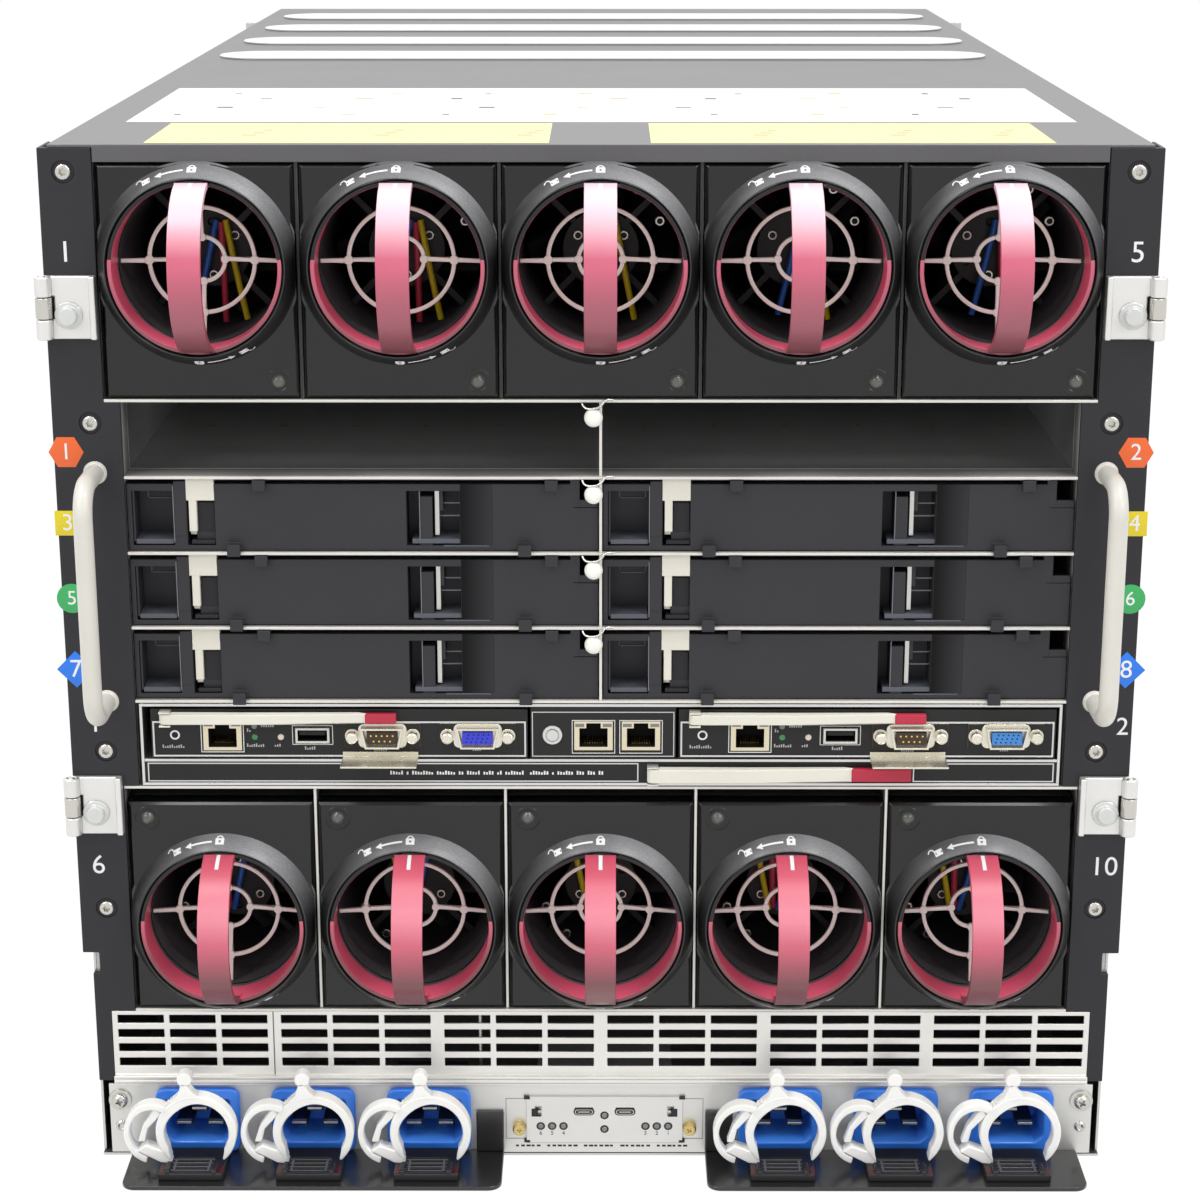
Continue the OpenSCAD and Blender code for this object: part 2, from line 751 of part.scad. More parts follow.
module management_module(i) {
  at_rear() translate([module_x[i - 1], 0, module_z]) {
    color([0.1, 0.1, 0.11]) difference() {
      block([0, 0, 0], [module_w, sleeve_d - 6, module_h]);
      jack_window(jack_x, port_z - 0.4);
      block([usb_x - 6.2, -1, port_z - 2.4], [usb_x + 6.2, 13, port_z + 2.4]);
      rod_y(jack_x - 20, -1, port_z, 1.3, 4);
    }
    color([0.72, 0.7, 0.62]) {
      jack(jack_x, port_z - 0.4);
      usb_shell();
      d_shell(serial_x);
      d_shell(video_x);
      pull_tab();
      lever_lugs(lever_x, lever_z - module_z, lever_h);
    }
    color([0.25, 0.22, 0.2])
      block([serial_x - 6.4, -4.6, port_z - 2.7], [serial_x + 6.4, -0.9 - seam, port_z + 2.7]);
    color([0.15, 0.25, 0.8])
      block([video_x - 6.4, -4.6, port_z - 2.7], [video_x + 6.4, -0.9 - seam, port_z + 2.7]);
  }
}

module management_lever(i) {
  at_rear() translate([module_x[i - 1], 0, 0]) {
    color([0.93, 0.91, 0.82]) lever_arm(lever_x, lever_z, lever_l, lever_h);
    color([0.75, 0.2, 0.28])
      translate([lever_x + lever_l, lever_y, lever_z]) block([0, -1.2, 0.2], [tab_l, 1.6, lever_h]);
  }
}

button_x = -20.3;
button_z = module_z + 10.4;
link_xs = [-3, 17];

module sleeve() {
  top = sleeve_z + sleeve_h;
  color([0.74, 0.74, 0.72]) at_rear() {
    for (z = [sleeve_z, top - sheet_t]) block([-sleeve_half_w, 0, z], [sleeve_half_w, sleeve_d, z + sheet_t]);
    for (s = [0, 1]) mirror([s, 0, 0])
      block([sleeve_half_w - sheet_t, 0, sleeve_z + sheet_t + seam],
        [sleeve_half_w, sleeve_d, top - sheet_t - seam]);
    block([sheet_t + seam - sleeve_half_w, 0, strip_top],
      [sleeve_half_w - sheet_t - seam, sleeve_d, strip_top + sheet_t]);
  }
  color([0.1, 0.1, 0.11]) at_rear() {
    block([sheet_t + seam - sleeve_half_w, strip_in, sleeve_z + sheet_t + seam],
      [sleeve_half_w - sheet_t - seam, strip_in + 2, strip_top - seam]);
    difference() {
      block([middle_x0, 0, strip_top + sheet_t + seam], [middle_x1, 20, top - sheet_t - seam]);
      for (x = link_xs) jack_window(x, button_z - 0.4);
      rod_y(button_x, -1, button_z, button_r + 0.3, 10);
    }
  }
  color([0.72, 0.7, 0.62]) at_rear() {
    for (x = link_xs) jack(x, button_z - 0.4);
    translate([0, strip_in, 0]) lever_lugs(sleeve_pin[0], sleeve_pin[1], sleeve_lever_h);
  }
  color([0.8, 0.8, 0.8]) at_rear() difference() {
    rod_y(button_x, -0.8 - seam, button_z, button_r + 1.5, 0.8);
    rod_y(button_x, -2, button_z, button_r + 0.3, 3);
  }
}

module sleeve_lever() {
  at_rear() {
    color([0.93, 0.91, 0.82]) translate([0, strip_in, 0])
      lever_arm(sleeve_pin[0], sleeve_pin[1], lever_l, sleeve_lever_h);
    color([0.7, 0.15, 0.2])
      translate([sleeve_pin[0] + lever_l, lever_y + strip_in, sleeve_pin[1]])
        block([0, -1.4, 0.4], [sleeve_tab_l, 1.6, sleeve_lever_h]);
  }
}

module locator_button() {
  color([0.8, 0.8, 0.78]) at_rear() {
    rod_y(button_x, -1.4, button_z, button_r, 8);
  }
}

// Vent grille -------------------------------------------------------------

module vent_grille() {
  rows = 4;
  slot_gap = (slot_group - 3 * slot_w) / 4.4;
  slot_top = vent_z + vent_h - 1.9;
  color([0.8, 0.8, 0.78]) at_rear() {
    plate_xz(0, sheet_t) difference() {
      translate([-vent_half_w, vent_z]) square([2 * vent_half_w, vent_h]);
      for (g = [-2.5:2.5]) for (c = [-1:1]) for (r = [0 : rows - 1])
        translate([g * slot_group + c * (slot_w + slot_gap), slot_top - slot_h / 2 - r * slot_row])
          square([slot_w, slot_h], center = true);
    }
    block([-vent_half_w, -2.4, vent_z - vent_ridge_h], [vent_half_w, sheet_t, vent_z]);
  }
}

// Power row ---------------------------------------------------------------

module power_panel() {
  color([0.76, 0.76, 0.75]) at_rear() {
    plate_xz(0, 1.5) difference() {
      translate([-power_half_w, power_z]) square([2 * power_half_w, power_h]);
      for (x = inlet_xs) translate([x, inlet_z]) square([inlet_w - 4, inlet_h - 4], center = true);
      translate([power_mid_x, inlet_z]) square([status_w - 6, status_h - 4], center = true);
    }
  }
}

inlet_hole = [28, 20];
inlet_d = 20;

module inlet_block() {
  plate_xz(-3, 3) round_rect(inlet_w, inlet_h, 4);
  block([2.4 - inlet_w / 2, 0, 2.4 - inlet_h / 2], [inlet_w / 2 - 2.4, inlet_d + 12, inlet_h / 2 - 2.4]);
}

// Four walls and a back, a seam apart, round a socket with two cut corners
module inlet_body() {
  half_w = inlet_hole[0] / 2;
  half_h = inlet_hole[1] / 2;
  for (s = [0, 1]) mirror([s, 0, 0]) intersection() {
    inlet_block();
    block([half_w, -4, -inlet_h], [inlet_w, inlet_d - seam, inlet_h]);
  }
  intersection() {
    inlet_block();
    block([seam - half_w, -4, half_h], [half_w - seam, inlet_d - seam, inlet_h]);
  }
  intersection() {
    inlet_block();
    plate_xz(-4, inlet_d + 4 - seam) polygon([
      [seam - half_w, -inlet_h], [half_w - seam, -inlet_h], [half_w - seam, 3 - half_h],
      [half_w - 3, -half_h], [3 - half_w, -half_h], [seam - half_w, 3 - half_h]
    ]);
  }
  intersection() {
    inlet_block();
    block([-inlet_w, inlet_d, -inlet_h], [inlet_w, 2 * inlet_d, inlet_h]);
  }
}

module power_inlets() {
  at_rear() for (x = inlet_xs) translate([x, 0, inlet_z]) {
    color([0.1, 0.35, 0.85]) inlet_body();
    color([0.75, 0.75, 0.72]) for (p = [[0, 4], [-7, -3], [7, -3]])
      block([p[0] - 4, 5, p[1] - 1], [p[0] + 4, inlet_d - seam, p[1] + 1]);
  }
}

module status_module() {
  color([0.78, 0.78, 0.77]) at_rear() translate([power_mid_x, 0, inlet_z]) {
    difference() {
      union() {
        plate_xz(-1.4, 1.4) round_rect(status_w, status_h, 1.2);
        block([4 - status_w / 2, 0, 3 - status_h / 2], [status_w / 2 - 4, 60, status_h / 2 - 3]);
      }
      for (s = [-1, 1]) {
        translate([s * 9, -2, 4.4]) cube([8, 12, 3], center = true);
        translate([s * 29, -1, 4.2]) cube([3, 1.2, 5], center = true);
        for (i = [-1:1]) rod_y(s * 23 + i * 5, -2, -3, 1.5, 1.6);
      }
    }
  }
  color([0.8, 0.76, 0.6]) at_rear() for (s = [-1, 1])
    rod_y(power_mid_x + s * 37.4, -4, inlet_z - 4, 3, 4);
}

// Brackets, sliders and clamps in front of the inlets ----------------------

bracket_l = 3 * inlet_pitch + 11.5;
bracket_z = 1;
bracket_t = 2;
bracket_end = 12;
slider_z = bracket_z + bracket_t + seam;
slider_t = 3.4;
ring_y = -20;
ring_flat = 3.4;

// Drawn for the left inlets, with its upright flange at the inner end
module clamp_bracket() {
  translate([0, -bracket_d, bracket_z]) linear_extrude(height = bracket_t) difference() {
    translate([-bracket_l / 2, 0]) square([bracket_l, bracket_d - seat_gap]);
    for (s = [0, 1]) mirror([s, 0]) translate([-bracket_l / 2, 0]) difference() {
      translate([-1, -1]) square([7, 7]);
      translate([6, 6]) circle(r = 6);
    }
  }
  block([bracket_l / 2 - bracket_end, -2.3, slider_z], [bracket_l / 2, -seat_gap, 22]);
}

module clamp_slider() {
  block([-14, -30, slider_z], [14, -5, slider_z + slider_t]);
  for (s = [-1, 1]) block([s * 10 - 1.2, -30, slider_z + 3], [s * 10 + 1.2, ring_y - 1, slider_z + 5]);
}

// Two jaws, a thumb tab and a side loop, a seam apart
module clamp_ring() {
  z = slider_z + slider_t + seam + clamp_r - ring_flat;
  translate([0, ring_y, z]) rotate([-90, 0, 0]) {
    for (s = [0, 1]) mirror([s, 0, 0]) difference() {
      cylinder(r = clamp_r, h = 7);
      translate([0, 0, -1]) cylinder(r = clamp_r - clamp_t, h = 9);
      translate([-clamp_r, clamp_r - ring_flat, -1]) cube([2 * clamp_r, clamp_r, 9]);
      translate([-2 * clamp_r + seam / 2, -2 * clamp_r, -1]) cube([2 * clamp_r, 4 * clamp_r, 9]);
    }
    difference() {
      translate([-3, -clamp_r - 7.5, 0]) {
        cylinder(r = 3, h = 7);
        translate([-2, 0, 0]) cube([4, 9, 7]);
      }
      translate([0, 0, -1]) cylinder(r = clamp_r + seam, h = 9);
    }
    difference() {
      translate([-clamp_r - 1.5, -1, 0]) cylinder(r = 9.5, h = 7);
      translate([-clamp_r - 1.5, -1, -1]) cylinder(r = 7, h = 9);
      translate([0, 0, -1]) cylinder(r = clamp_r + seam, h = 9);
    }
  }
}

module cable_retainers() {
  at_rear() {
    color([0.09, 0.09, 0.1]) translate([power_mid_x, 0, 0]) for (s = [0, 1])
      mirror([s, 0, 0]) translate([1.6 - inlet_group_x, 0, 0]) clamp_bracket();
    for (x = inlet_xs) translate([x, 0, 0]) {
      color([0.12, 0.12, 0.13]) clamp_slider();
      color([0.95, 0.94, 0.9]) clamp_ring();
    }
  }
}

// Carry handles -----------------------------------------------------------

module carry_handle() {
  bend = 12;
  z0 = handle_z;
  z1 = handle_z + handle_span;
  for (k = [0, 1]) translate([0, 0, k == 0 ? z0 : z1]) mirror([0, 0, k]) {
    rotate([90, 0, 0]) cylinder(r = rod_r, h = handle_out - bend);
    translate([0, bend - handle_out, bend]) rotate([0, 90, 0]) rotate([0, 0, -90])
      rotate_extrude(angle = 90) translate([bend, 0]) circle(r = rod_r);
  }
  translate([0, -handle_out, z0 + bend]) cylinder(r = rod_r, h = handle_span - 2 * bend);
}

module carry_handles() {
  color([0.9, 0.89, 0.85]) at_rear() for (s = [-1, 1]) translate([s * handle_x, 0, 0]) carry_handle();
}

// Latches and fasteners ---------------------------------------------------

leaf_t = 2.6;
knuckle_gap = 0.3;
latch_screw_x = -9.7;

// Latch drawn for the right side, its pin at x = 0 and its plate toward -X
module latch_leaf_shape() {
  third = latch_h / 3;
  difference() {
    union() {
      block([-latch_in, -leaf_t, 0], [-knuckle_r - 0.7, 0, latch_h]);
      block([-latch_in - 2.6, -leaf_t - 2.4, 0], [-latch_in, 0, latch_h]);
      for (k = [0, 1]) translate([0, -knuckle_r, k * (2 * third + knuckle_gap)])
        cylinder(r = knuckle_r, h = third - knuckle_gap);
      block([-knuckle_r - 1, -leaf_t, 0], [0, 0, third - knuckle_gap]);
      block([-knuckle_r - 1, -leaf_t, 2 * third + knuckle_gap], [0, 0, latch_h]);
    }
    translate([0, -knuckle_r, -1]) cylinder(r = pin_r + pin_gap, h = latch_h + 2);
  }
  rod_y(latch_screw_x, -leaf_t - 1.2 - seam, latch_h * 0.38, 5.6, 1.2);
  rod_y(latch_screw_x, -leaf_t - 4.4 - seam, latch_h * 0.38, 3.8, 3.2);
}

// Fixed lug between the leaf's knuckles, with the pin through all three
module latch_lug_shape() {
  third = latch_h / 3;
  difference() {
    union() {
      translate([0, -knuckle_r, third + knuckle_gap / 2]) cylinder(r = knuckle_r, h = third - knuckle_gap / 2);
      block([-2, -knuckle_r, third + knuckle_gap / 2], [2, seat_gap, 2 * third]);
    }
    translate([0, -knuckle_r, 0]) cylinder(r = pin_r, h = latch_h);
  }
  translate([0, -knuckle_r, 0]) cylinder(r = pin_r, h = latch_h);
}

module at_latch(side, level) {
  at_rear() mirror([side, 0, 0]) translate([pin_x, -seat_gap, latch_z[level]]) children();
}

module latch_leaf(i) {
  color([0.78, 0.78, 0.77]) at_latch(i % 2, floor((i - 1) / 2)) latch_leaf_shape();
}

module column_screw(x, z) {
  rod_y(x, screw_recess - screw_head_h, z, screw_head_r, screw_head_h);
}

// Rounded knobs on the front edges of the sheets' middle wall
knob_r = 3.4;
knob_l = 5;
knob_x = -2.9;
knob_drop = 5.8;

module divider_knob(z) {
  translate([knob_x, -knob_l - seam, z - knob_drop]) rotate([-90, 0, 0]) {
    cylinder(r1 = knob_r - 0.9, r2 = knob_r, h = 1.4);
    translate([0, 0, 1.4]) cylinder(r = knob_r, h = knob_l - 1.4);
  }
}

module rear_fixings() {
  color([0.93, 0.9, 0.8]) at_rear() for (i = [1:4]) divider_knob(row_z + i * bay_pitch);
  color([0.78, 0.78, 0.76]) {
    for (side = [0, 1]) {
      for (level = [0, 1]) at_latch(side, level) latch_lug_shape();
      at_rear() mirror([side, 0, 0]) for (i = [0:3]) column_screw(screw_x[i], screw_z[i]);
    }
    at_rear() for (s = [-1, 1]) {
      rod_y(s * (power_half_w - 4.8), -1, inlet_z + 9, 5, 1);
      rod_y(s * (power_half_w - 4.8), -3.6, inlet_z + 9, 3.4, 2.6);
      rod_y(s * (power_half_w - 4.8), -1, inlet_z - 3.5, 2.6, 1);
    }
  }
}

// Drawing ----------------------------------------------------------------

top_cover();
lower_shell();
rear_columns();
rear_cage();
midplane();
front_cage();
vent_grille();
power_panel();
power_inlets();
status_module();
cable_retainers();
carry_handles();
rear_fixings();
for (i = [1:10]) {
  fan_module(i);
  fan_handle(i);
  fan_rotor(i);
}
for (i = [1:6]) bay_blank(i);
for (i = [1:2]) {
  management_module(i);
  management_lever(i);
}
sleeve();
sleeve_lever();
locator_button();
for (i = [1:4]) latch_leaf(i);
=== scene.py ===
import math

import bmesh
import bpy
from mathutils import Matrix, Vector


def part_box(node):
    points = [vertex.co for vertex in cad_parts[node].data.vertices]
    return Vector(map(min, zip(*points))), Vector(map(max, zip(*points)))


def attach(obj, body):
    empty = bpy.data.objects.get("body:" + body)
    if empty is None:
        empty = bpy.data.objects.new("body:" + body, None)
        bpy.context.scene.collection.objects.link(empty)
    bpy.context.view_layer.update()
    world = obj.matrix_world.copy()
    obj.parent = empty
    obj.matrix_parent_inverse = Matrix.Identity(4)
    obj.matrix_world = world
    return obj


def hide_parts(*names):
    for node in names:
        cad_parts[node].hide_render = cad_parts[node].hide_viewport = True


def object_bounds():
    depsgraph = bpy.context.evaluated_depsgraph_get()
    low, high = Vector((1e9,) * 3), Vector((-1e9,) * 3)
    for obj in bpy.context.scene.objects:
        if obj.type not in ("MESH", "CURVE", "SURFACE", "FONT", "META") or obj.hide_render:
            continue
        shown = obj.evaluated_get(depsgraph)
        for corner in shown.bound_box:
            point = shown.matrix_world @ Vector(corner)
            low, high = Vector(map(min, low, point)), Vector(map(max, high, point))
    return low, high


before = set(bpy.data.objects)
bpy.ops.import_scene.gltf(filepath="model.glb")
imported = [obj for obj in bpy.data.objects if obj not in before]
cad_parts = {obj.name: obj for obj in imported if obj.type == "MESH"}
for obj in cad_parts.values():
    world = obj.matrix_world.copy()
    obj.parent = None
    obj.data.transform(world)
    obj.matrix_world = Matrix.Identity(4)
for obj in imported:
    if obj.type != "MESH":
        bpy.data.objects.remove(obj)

# ---------------------------------------------------------------- the studio
# The enclosure stands on a pale floor and is seen from its rear service side,
# a little from above. Two softboxes face it from the sides, two hang over it,
# and one lights its far end; the room around is white.
cad_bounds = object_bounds()
mm = 0.001
rear_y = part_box("rear_columns")[0].y
case_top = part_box("lower_shell")[1].z / mm

camera = bpy.data.objects.new("camera", bpy.data.cameras.new("camera"))
bpy.context.scene.collection.objects.link(camera)
camera.data.sensor_width = 36
camera.data.lens = 82.2
camera.data.shift_y = 0.0307
camera_aside, camera_back, camera_up = 2.6 * mm, 1093.8 * mm, 565 * mm
camera_dip, camera_yaw = 16.6, 0.15
camera.location = (camera_aside, rear_y - camera_back, camera_up)
camera.rotation_euler = (math.radians(90 - camera_dip), 0, math.radians(camera_yaw))
bpy.context.scene.camera = camera
bpy.context.scene.view_settings.view_transform = "Standard"


def softbox(name, place, aim, width, height, watts):
    lamp = bpy.data.lights.new(name, "AREA")
    lamp.shape = "RECTANGLE"
    lamp.size, lamp.size_y, lamp.energy = width, height, watts
    box = bpy.data.objects.new(name, lamp)
    bpy.context.scene.collection.objects.link(box)
    box.location = place
    box.rotation_euler = (Vector(aim) - Vector(place)).to_track_quat("-Z", "Y").to_euler()


face_centre = (0, rear_y, 0.25)
softbox("softbox_left", (-1.3, rear_y - 1.1, 1.3), face_centre, 0.8, 0.4, 7)
softbox("softbox_right", (1.3, rear_y - 1.1, 1.3), face_centre, 0.8, 0.4, 7)
softbox("softbox_over_left", (-0.75, rear_y - 0.35, 1.9), (-0.1, rear_y, 0.35), 0.9, 0.4, 13)
softbox("softbox_over_right", (0.75, rear_y - 0.35, 1.9), (0.1, rear_y, 0.35), 0.9, 0.4, 13)
softbox("softbox_back", (0, 0.9, 1.6), (0, 0, 0.44), 1.6, 0.4, 9)


class Wire:
    """A value running between shader nodes; arithmetic on it adds Math nodes."""

    def __init__(self, finish, socket):
        self.finish, self.socket = finish, socket

    def _math(self, operation, first, second):
        return self.finish.node("Math", {"operation": operation}, {0: first, 1: second})

    def __add__(self, other):
        return self._math("ADD", self, other)

    def __sub__(self, other):
        return self._math("SUBTRACT", self, other)

    def __rsub__(self, other):
        return self._math("SUBTRACT", other, self)

    def __mul__(self, other):
        return self._math("MULTIPLY", self, other)

    def __truediv__(self, other):
        return self._math("DIVIDE", self, other)

    def __pow__(self, other):
        return self._math("POWER", self, other)

    def __gt__(self, other):
        return self._math("GREATER_THAN", self, other)

    __radd__, __rmul__ = __add__, __mul__


class Finish:
    """A surface finish: one material, or the room's light, and its nodes."""

    def __init__(self, name=None, world=None):
        self.owner = world or bpy.data.materials.new(name)
        self.owner.use_nodes = True
        self.tree = self.owner.node_tree
        self.tree.nodes.clear()

    def node(self, kind, settings=None, sockets=None, output=0):
        made = self.tree.nodes.new("ShaderNode" + kind)
        for key, value in (settings or {}).items():
            if key == "stops":
                ramp = made.color_ramp
                while len(ramp.elements) < len(value):
                    ramp.elements.new(0.5)
                for element, (place, shade) in zip(ramp.elements, value):
                    element.position = place
                    element.color = (shade, shade, shade, 1)
            else:
                setattr(made, key, value)
        for key, value in (sockets or {}).items():
            if isinstance(value, Wire):
                self.tree.links.new(value.socket, made.inputs[key])
            else:
                made.inputs[key].default_value = value
        return Wire(self, made.outputs[output]) if made.outputs else None

    def noise(self, scale, detail=2, stretch=None):
        """Noise in the piece's own space; stretch lengthens its grains."""
        place = self.node("TexCoord", output="Object")
        if stretch:
            place = self.node("Mapping", {}, {"Vector": place, "Scale": stretch})
        return self.node("TexNoise", {}, {"Vector": place, "Scale": scale, "Detail": detail})

    def along(self, axis, start, stop):
        """Runs from 0 to 1 between two places on an axis of the piece."""
        place = self.node("TexCoord", output=3)
        where = self.node("SeparateXYZ", {}, {0: place}, output="XYZ".index(axis))
        share = (where - start * mm) / ((stop - start) * mm)
        return self.node("Clamp", {}, {"Value": share, "Min": 0.0, "Max": 1.0})

    def blend(self, factor, first, second):
        return self.node("Mix", {"data_type": "RGBA"}, {0: factor, 6: first, 7: second}, output=2)

    def bump(self, height, depth, strength=1.0):
        return self.node("Bump", {}, {"Strength": strength, "Distance": depth, "Height": height})

    def shade(self, **sockets):
        """Closes the tree with one Principled shader."""
        named = {key.replace("_", " "): value for key, value in sockets.items()}
        skin = self.node("BsdfPrincipled", {}, named)
        self.node("OutputMaterial", {}, {"Surface": skin})
        return self.owner


def tone(red, green, blue):
    """A paint colour given in display values from 0 to 255."""
    return tuple((v / 255) ** 2.2 for v in (red, green, blue)) + (1.0,)


def looked_at(finish):
    """1 where the eye, a reflection or clear plastic sees it, 0 for plain light."""
    straight = finish.node("LightPath", output="Is Camera Ray")
    mirrored = finish.node("LightPath", output="Is Glossy Ray")
    return (straight + mirrored + finish.node("LightPath", output="Is Transmission Ray")) > 0.5


room = Finish(world=bpy.data.worlds.new("room"))
room_light = 0.48
glow = looked_at(room) * (1 - room_light) + room_light
light = room.node("Background", {}, {"Color": (1, 1, 1, 1), "Strength": glow})
room.node("OutputWorld", {}, {"Surface": light})
bpy.context.scene.world = room.owner

paper = Finish("studio_paper")
lit = paper.node("Emission", {}, {"Color": (1, 1, 1, 1), "Strength": 1.08})
matt = paper.node("BsdfDiffuse", {}, {"Color": (0.9, 0.9, 0.9, 1)})
sheet = paper.node("MixShader", {}, {0: looked_at(paper) * 0.9, 1: matt, 2: lit})
paper.node("OutputMaterial", {}, {"Surface": sheet})
bpy.ops.mesh.primitive_plane_add(size=12, location=(0, 0, cad_bounds[0][2] - 0.2 * mm))
floor = bpy.context.object
floor.name = "floor"
floor.data.materials.append(paper.owner)

# ------------------------------------------------- the case and front cage
# Folded from steel sheet and riveted: a base and two sides, the front device bays, and two rack ears. A dull dark
# sheet on the faces inside the case, on the sides and the floor, and on the bays' rearward faces is painted
# shade; the rest of the bays, the ears and the cut edges are bare and bright.


def galvanised(name, colour, spangle=0.12, rough=0.34, grain=(1, 1, 1), dent=0.02):
    """Bare metal with faint crystals in its coat and a little rubbing."""
    finish = Finish(name)
    crystals = finish.noise(90, 3, grain)
    rub = finish.noise(900, 3, grain)
    cloud = finish.blend(crystals * spangle * 2, tone(*colour), tone(*[v * 0.86 for v in colour]))
    return finish.shade(Base_Color=cloud, Metallic=0.85,
                        Roughness=crystals * 0.12 + rub * 0.08 + (rough - 0.1),
                        Normal=finish.bump(rub + crystals * 0.5, dent * mm, 0.35))


def solids(node):
    """The separate solids of a frame node: low corner, high corner, faces."""
    skin = bmesh.new()
    skin.from_mesh(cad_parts[node].data)
    bmesh.ops.remove_doubles(skin, verts=skin.verts, dist=0.002 * mm)
    bmesh.ops.join_triangles(skin, faces=skin.faces, angle_face_threshold=math.radians(0.3),
                             angle_shape_threshold=math.radians(60))
    met, found = set(), []
    for first in skin.faces:
        if first in met:
            continue
        met.add(first)
        island, waiting = [], [first]
        while waiting:
            face = waiting.pop()
            island.append(face)
            for edge in face.edges:
                for other in edge.link_faces:
                    if other not in met:
                        met.add(other)
                        waiting.append(other)
        corners = [v.co for face in island for v in face.verts]
        low = Vector(min(c[k] for c in corners) for k in range(3))
        high = Vector(max(c[k] for c in corners) for k in range(3))
        found.append((low, high, island))
    return skin, found


def stand(piece, body, *nodes, slot=None):
    """Puts a piece on its body, in place of the frame's plain solids."""
    if piece.name not in bpy.context.scene.collection.objects:
        bpy.context.scene.collection.objects.link(piece)
    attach(piece, body)
    if nodes:
        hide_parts(*nodes)
    return piece


def round_edges(piece, width, angle=38, segments=2):
    """Breaks the edges by a width in millimetres, and keeps wide faces flat."""
    edge = piece.modifiers.new("broken_edges", "BEVEL")
    edge.width, edge.segments = width * mm, segments
    edge.limit_method, edge.angle_limit = "ANGLE", math.radians(angle)
    edge.use_clamp_overlap = False
    edge.loop_slide = False
    edge.face_strength_mode = "FSTR_ALL"
    flat = piece.modifiers.new("flat_faces", "WEIGHTED_NORMAL")
    flat.weight = 100
    flat.use_face_influence = True
    flat.keep_sharp = True
    return piece


def tint(piece, pick, rule):
    """Gives another finish to the faces that a rule on centre and normal picks."""
    for face in piece.data.polygons:
        if rule(face.center / mm, face.normal):
            face.material_index = pick


def pressed(name, node, finishes, sort=None, width=0.25, origin=None):
    """A node's own shape with broken edges; sort picks each solid's finish,
    from its low corner and high corner, and None leaves the solid out."""
    skin, found = solids(node)
    for low, high, island in found:
        pick = sort(low, high) if sort else 0
        if pick is None:
            bmesh.ops.delete(skin, geom=island, context="FACES")
            continue
        for face in island:
            face.material_index = pick
    if origin:
        bmesh.ops.translate(skin, verts=skin.verts, vec=-origin)
    mesh = bpy.data.meshes.new(name)
    skin.to_mesh(mesh)
    skin.free()
    for finish in finishes:
        mesh.materials.append(finish)
    mesh.shade_smooth()
    return round_edges(bpy.data.objects.new(name, mesh), width)


bare_sheet = galvanised("bare_sheet", (206, 205, 200))
rolled_grain = (1, 0.15, 1)
# A dull dark copy of the sheet, laid as painted shade inside the case.
inner_shade_finish = Finish("inner_painted_shade")
inner_shade_grain = inner_shade_finish.noise(300, 3, rolled_grain)
inner_painted_shade = inner_shade_finish.shade(
    Base_Color=inner_shade_finish.blend(inner_shade_grain, tone(74, 74, 73), tone(92, 92, 90)), Metallic=0.5,
    Roughness=inner_shade_grain * 0.2 + 0.4, Normal=inner_shade_finish.bump(inner_shade_grain, 0.02 * mm, 0.3))
shell = pressed("case_shell", "lower_shell", [bare_sheet, inner_painted_shade], width=0.3)
# Faces inside the case, on the sides and the floor, take the dark sheet: painted shade.
tint(shell, 1, lambda at, n: abs(at.x) < 219.9 and 1.1 < at.z < case_top - 0.4 and n.y > -0.9)
stand(shell, "enclosure", "lower_shell", slot="bare_sheet")
front_bays = pressed("front_bays", "front_cage", [bare_sheet, inner_painted_shade], width=0.3)
# Front-bay faces whose middle lies rearward of y = -60 mm take the dark sheet: painted shade.
tint(front_bays, 1, lambda at, n: at.y < -60)
stand(front_bays, "enclosure", "front_cage", slot="bare_sheet")

# ----------------------------------------------------------- the rear cage
# Shelves, dividers and liners of the same sheet, tabbed and spot-welded. A row of dimples is pressed into the
# open shelf. The sheet's colour carries painted light by depth behind the rear face: a painted highlight on the
# cut edges and on the bend about 14 mm in, with painted shade between them.
cage_finish = Finish("cage_sheet_painted_light")
rolled = cage_finish.noise(300, 3, rolled_grain)
rear = rear_y / mm


def inward(start, stop):
    """Runs from 0 to 1 between two depths behind the rear face."""
    return cage_finish.along("Y", rear + start, rear + stop)


# Painted light by depth: a bright cut edge, painted shade down to 14 mm, a painted highlight on the bend, then
# plain sheet from 60 mm.
cage_painted_light_by_depth = cage_finish.blend(inward(0.5, 3.5), tone(226, 223, 216), tone(176, 175, 173))
cage_painted_light_by_depth = cage_finish.blend(inward(3.5, 14), cage_painted_light_by_depth, tone(118, 118, 118))
fold_painted_highlight = inward(14.2, 14.4) * (1 - inward(15.2, 15.5))
cage_painted_light_by_depth = cage_finish.blend(fold_painted_highlight, cage_painted_light_by_depth, tone(240, 240, 238))
cage_painted_light_by_depth = cage_finish.blend(inward(15.5, 60), cage_painted_light_by_depth, tone(214, 214, 213))
cage_sheet_painted_light = cage_finish.shade(Base_Color=cage_painted_light_by_depth, Metallic=0.45, Roughness=rolled * 0.14 + 0.3,
                               Normal=cage_finish.bump(rolled, 0.02 * mm, 0.4))
upper_divider_painted_shade = galvanised("upper_divider_painted_shade", (66, 66, 66), 0.1, 0.5)
cage = pressed("rear_cage_sheets", "rear_cage", [cage_sheet_painted_light, upper_divider_painted_shade], width=0.22)
upper_fans_low, upper_fans_high = (corner.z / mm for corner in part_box("fan_module_1"))
# The rear-facing edges of the dividers between the upper fans take a dark grey sheet: painted shade.
tint(cage, 1, lambda at, n: n.y < -0.9 and upper_fans_low + 2 < at.z < upper_fans_high - 1
     and abs(at.x) < 200 and at.y < rear + 6)
stand(cage, "enclosure", "rear_cage", slot="bare_sheet")


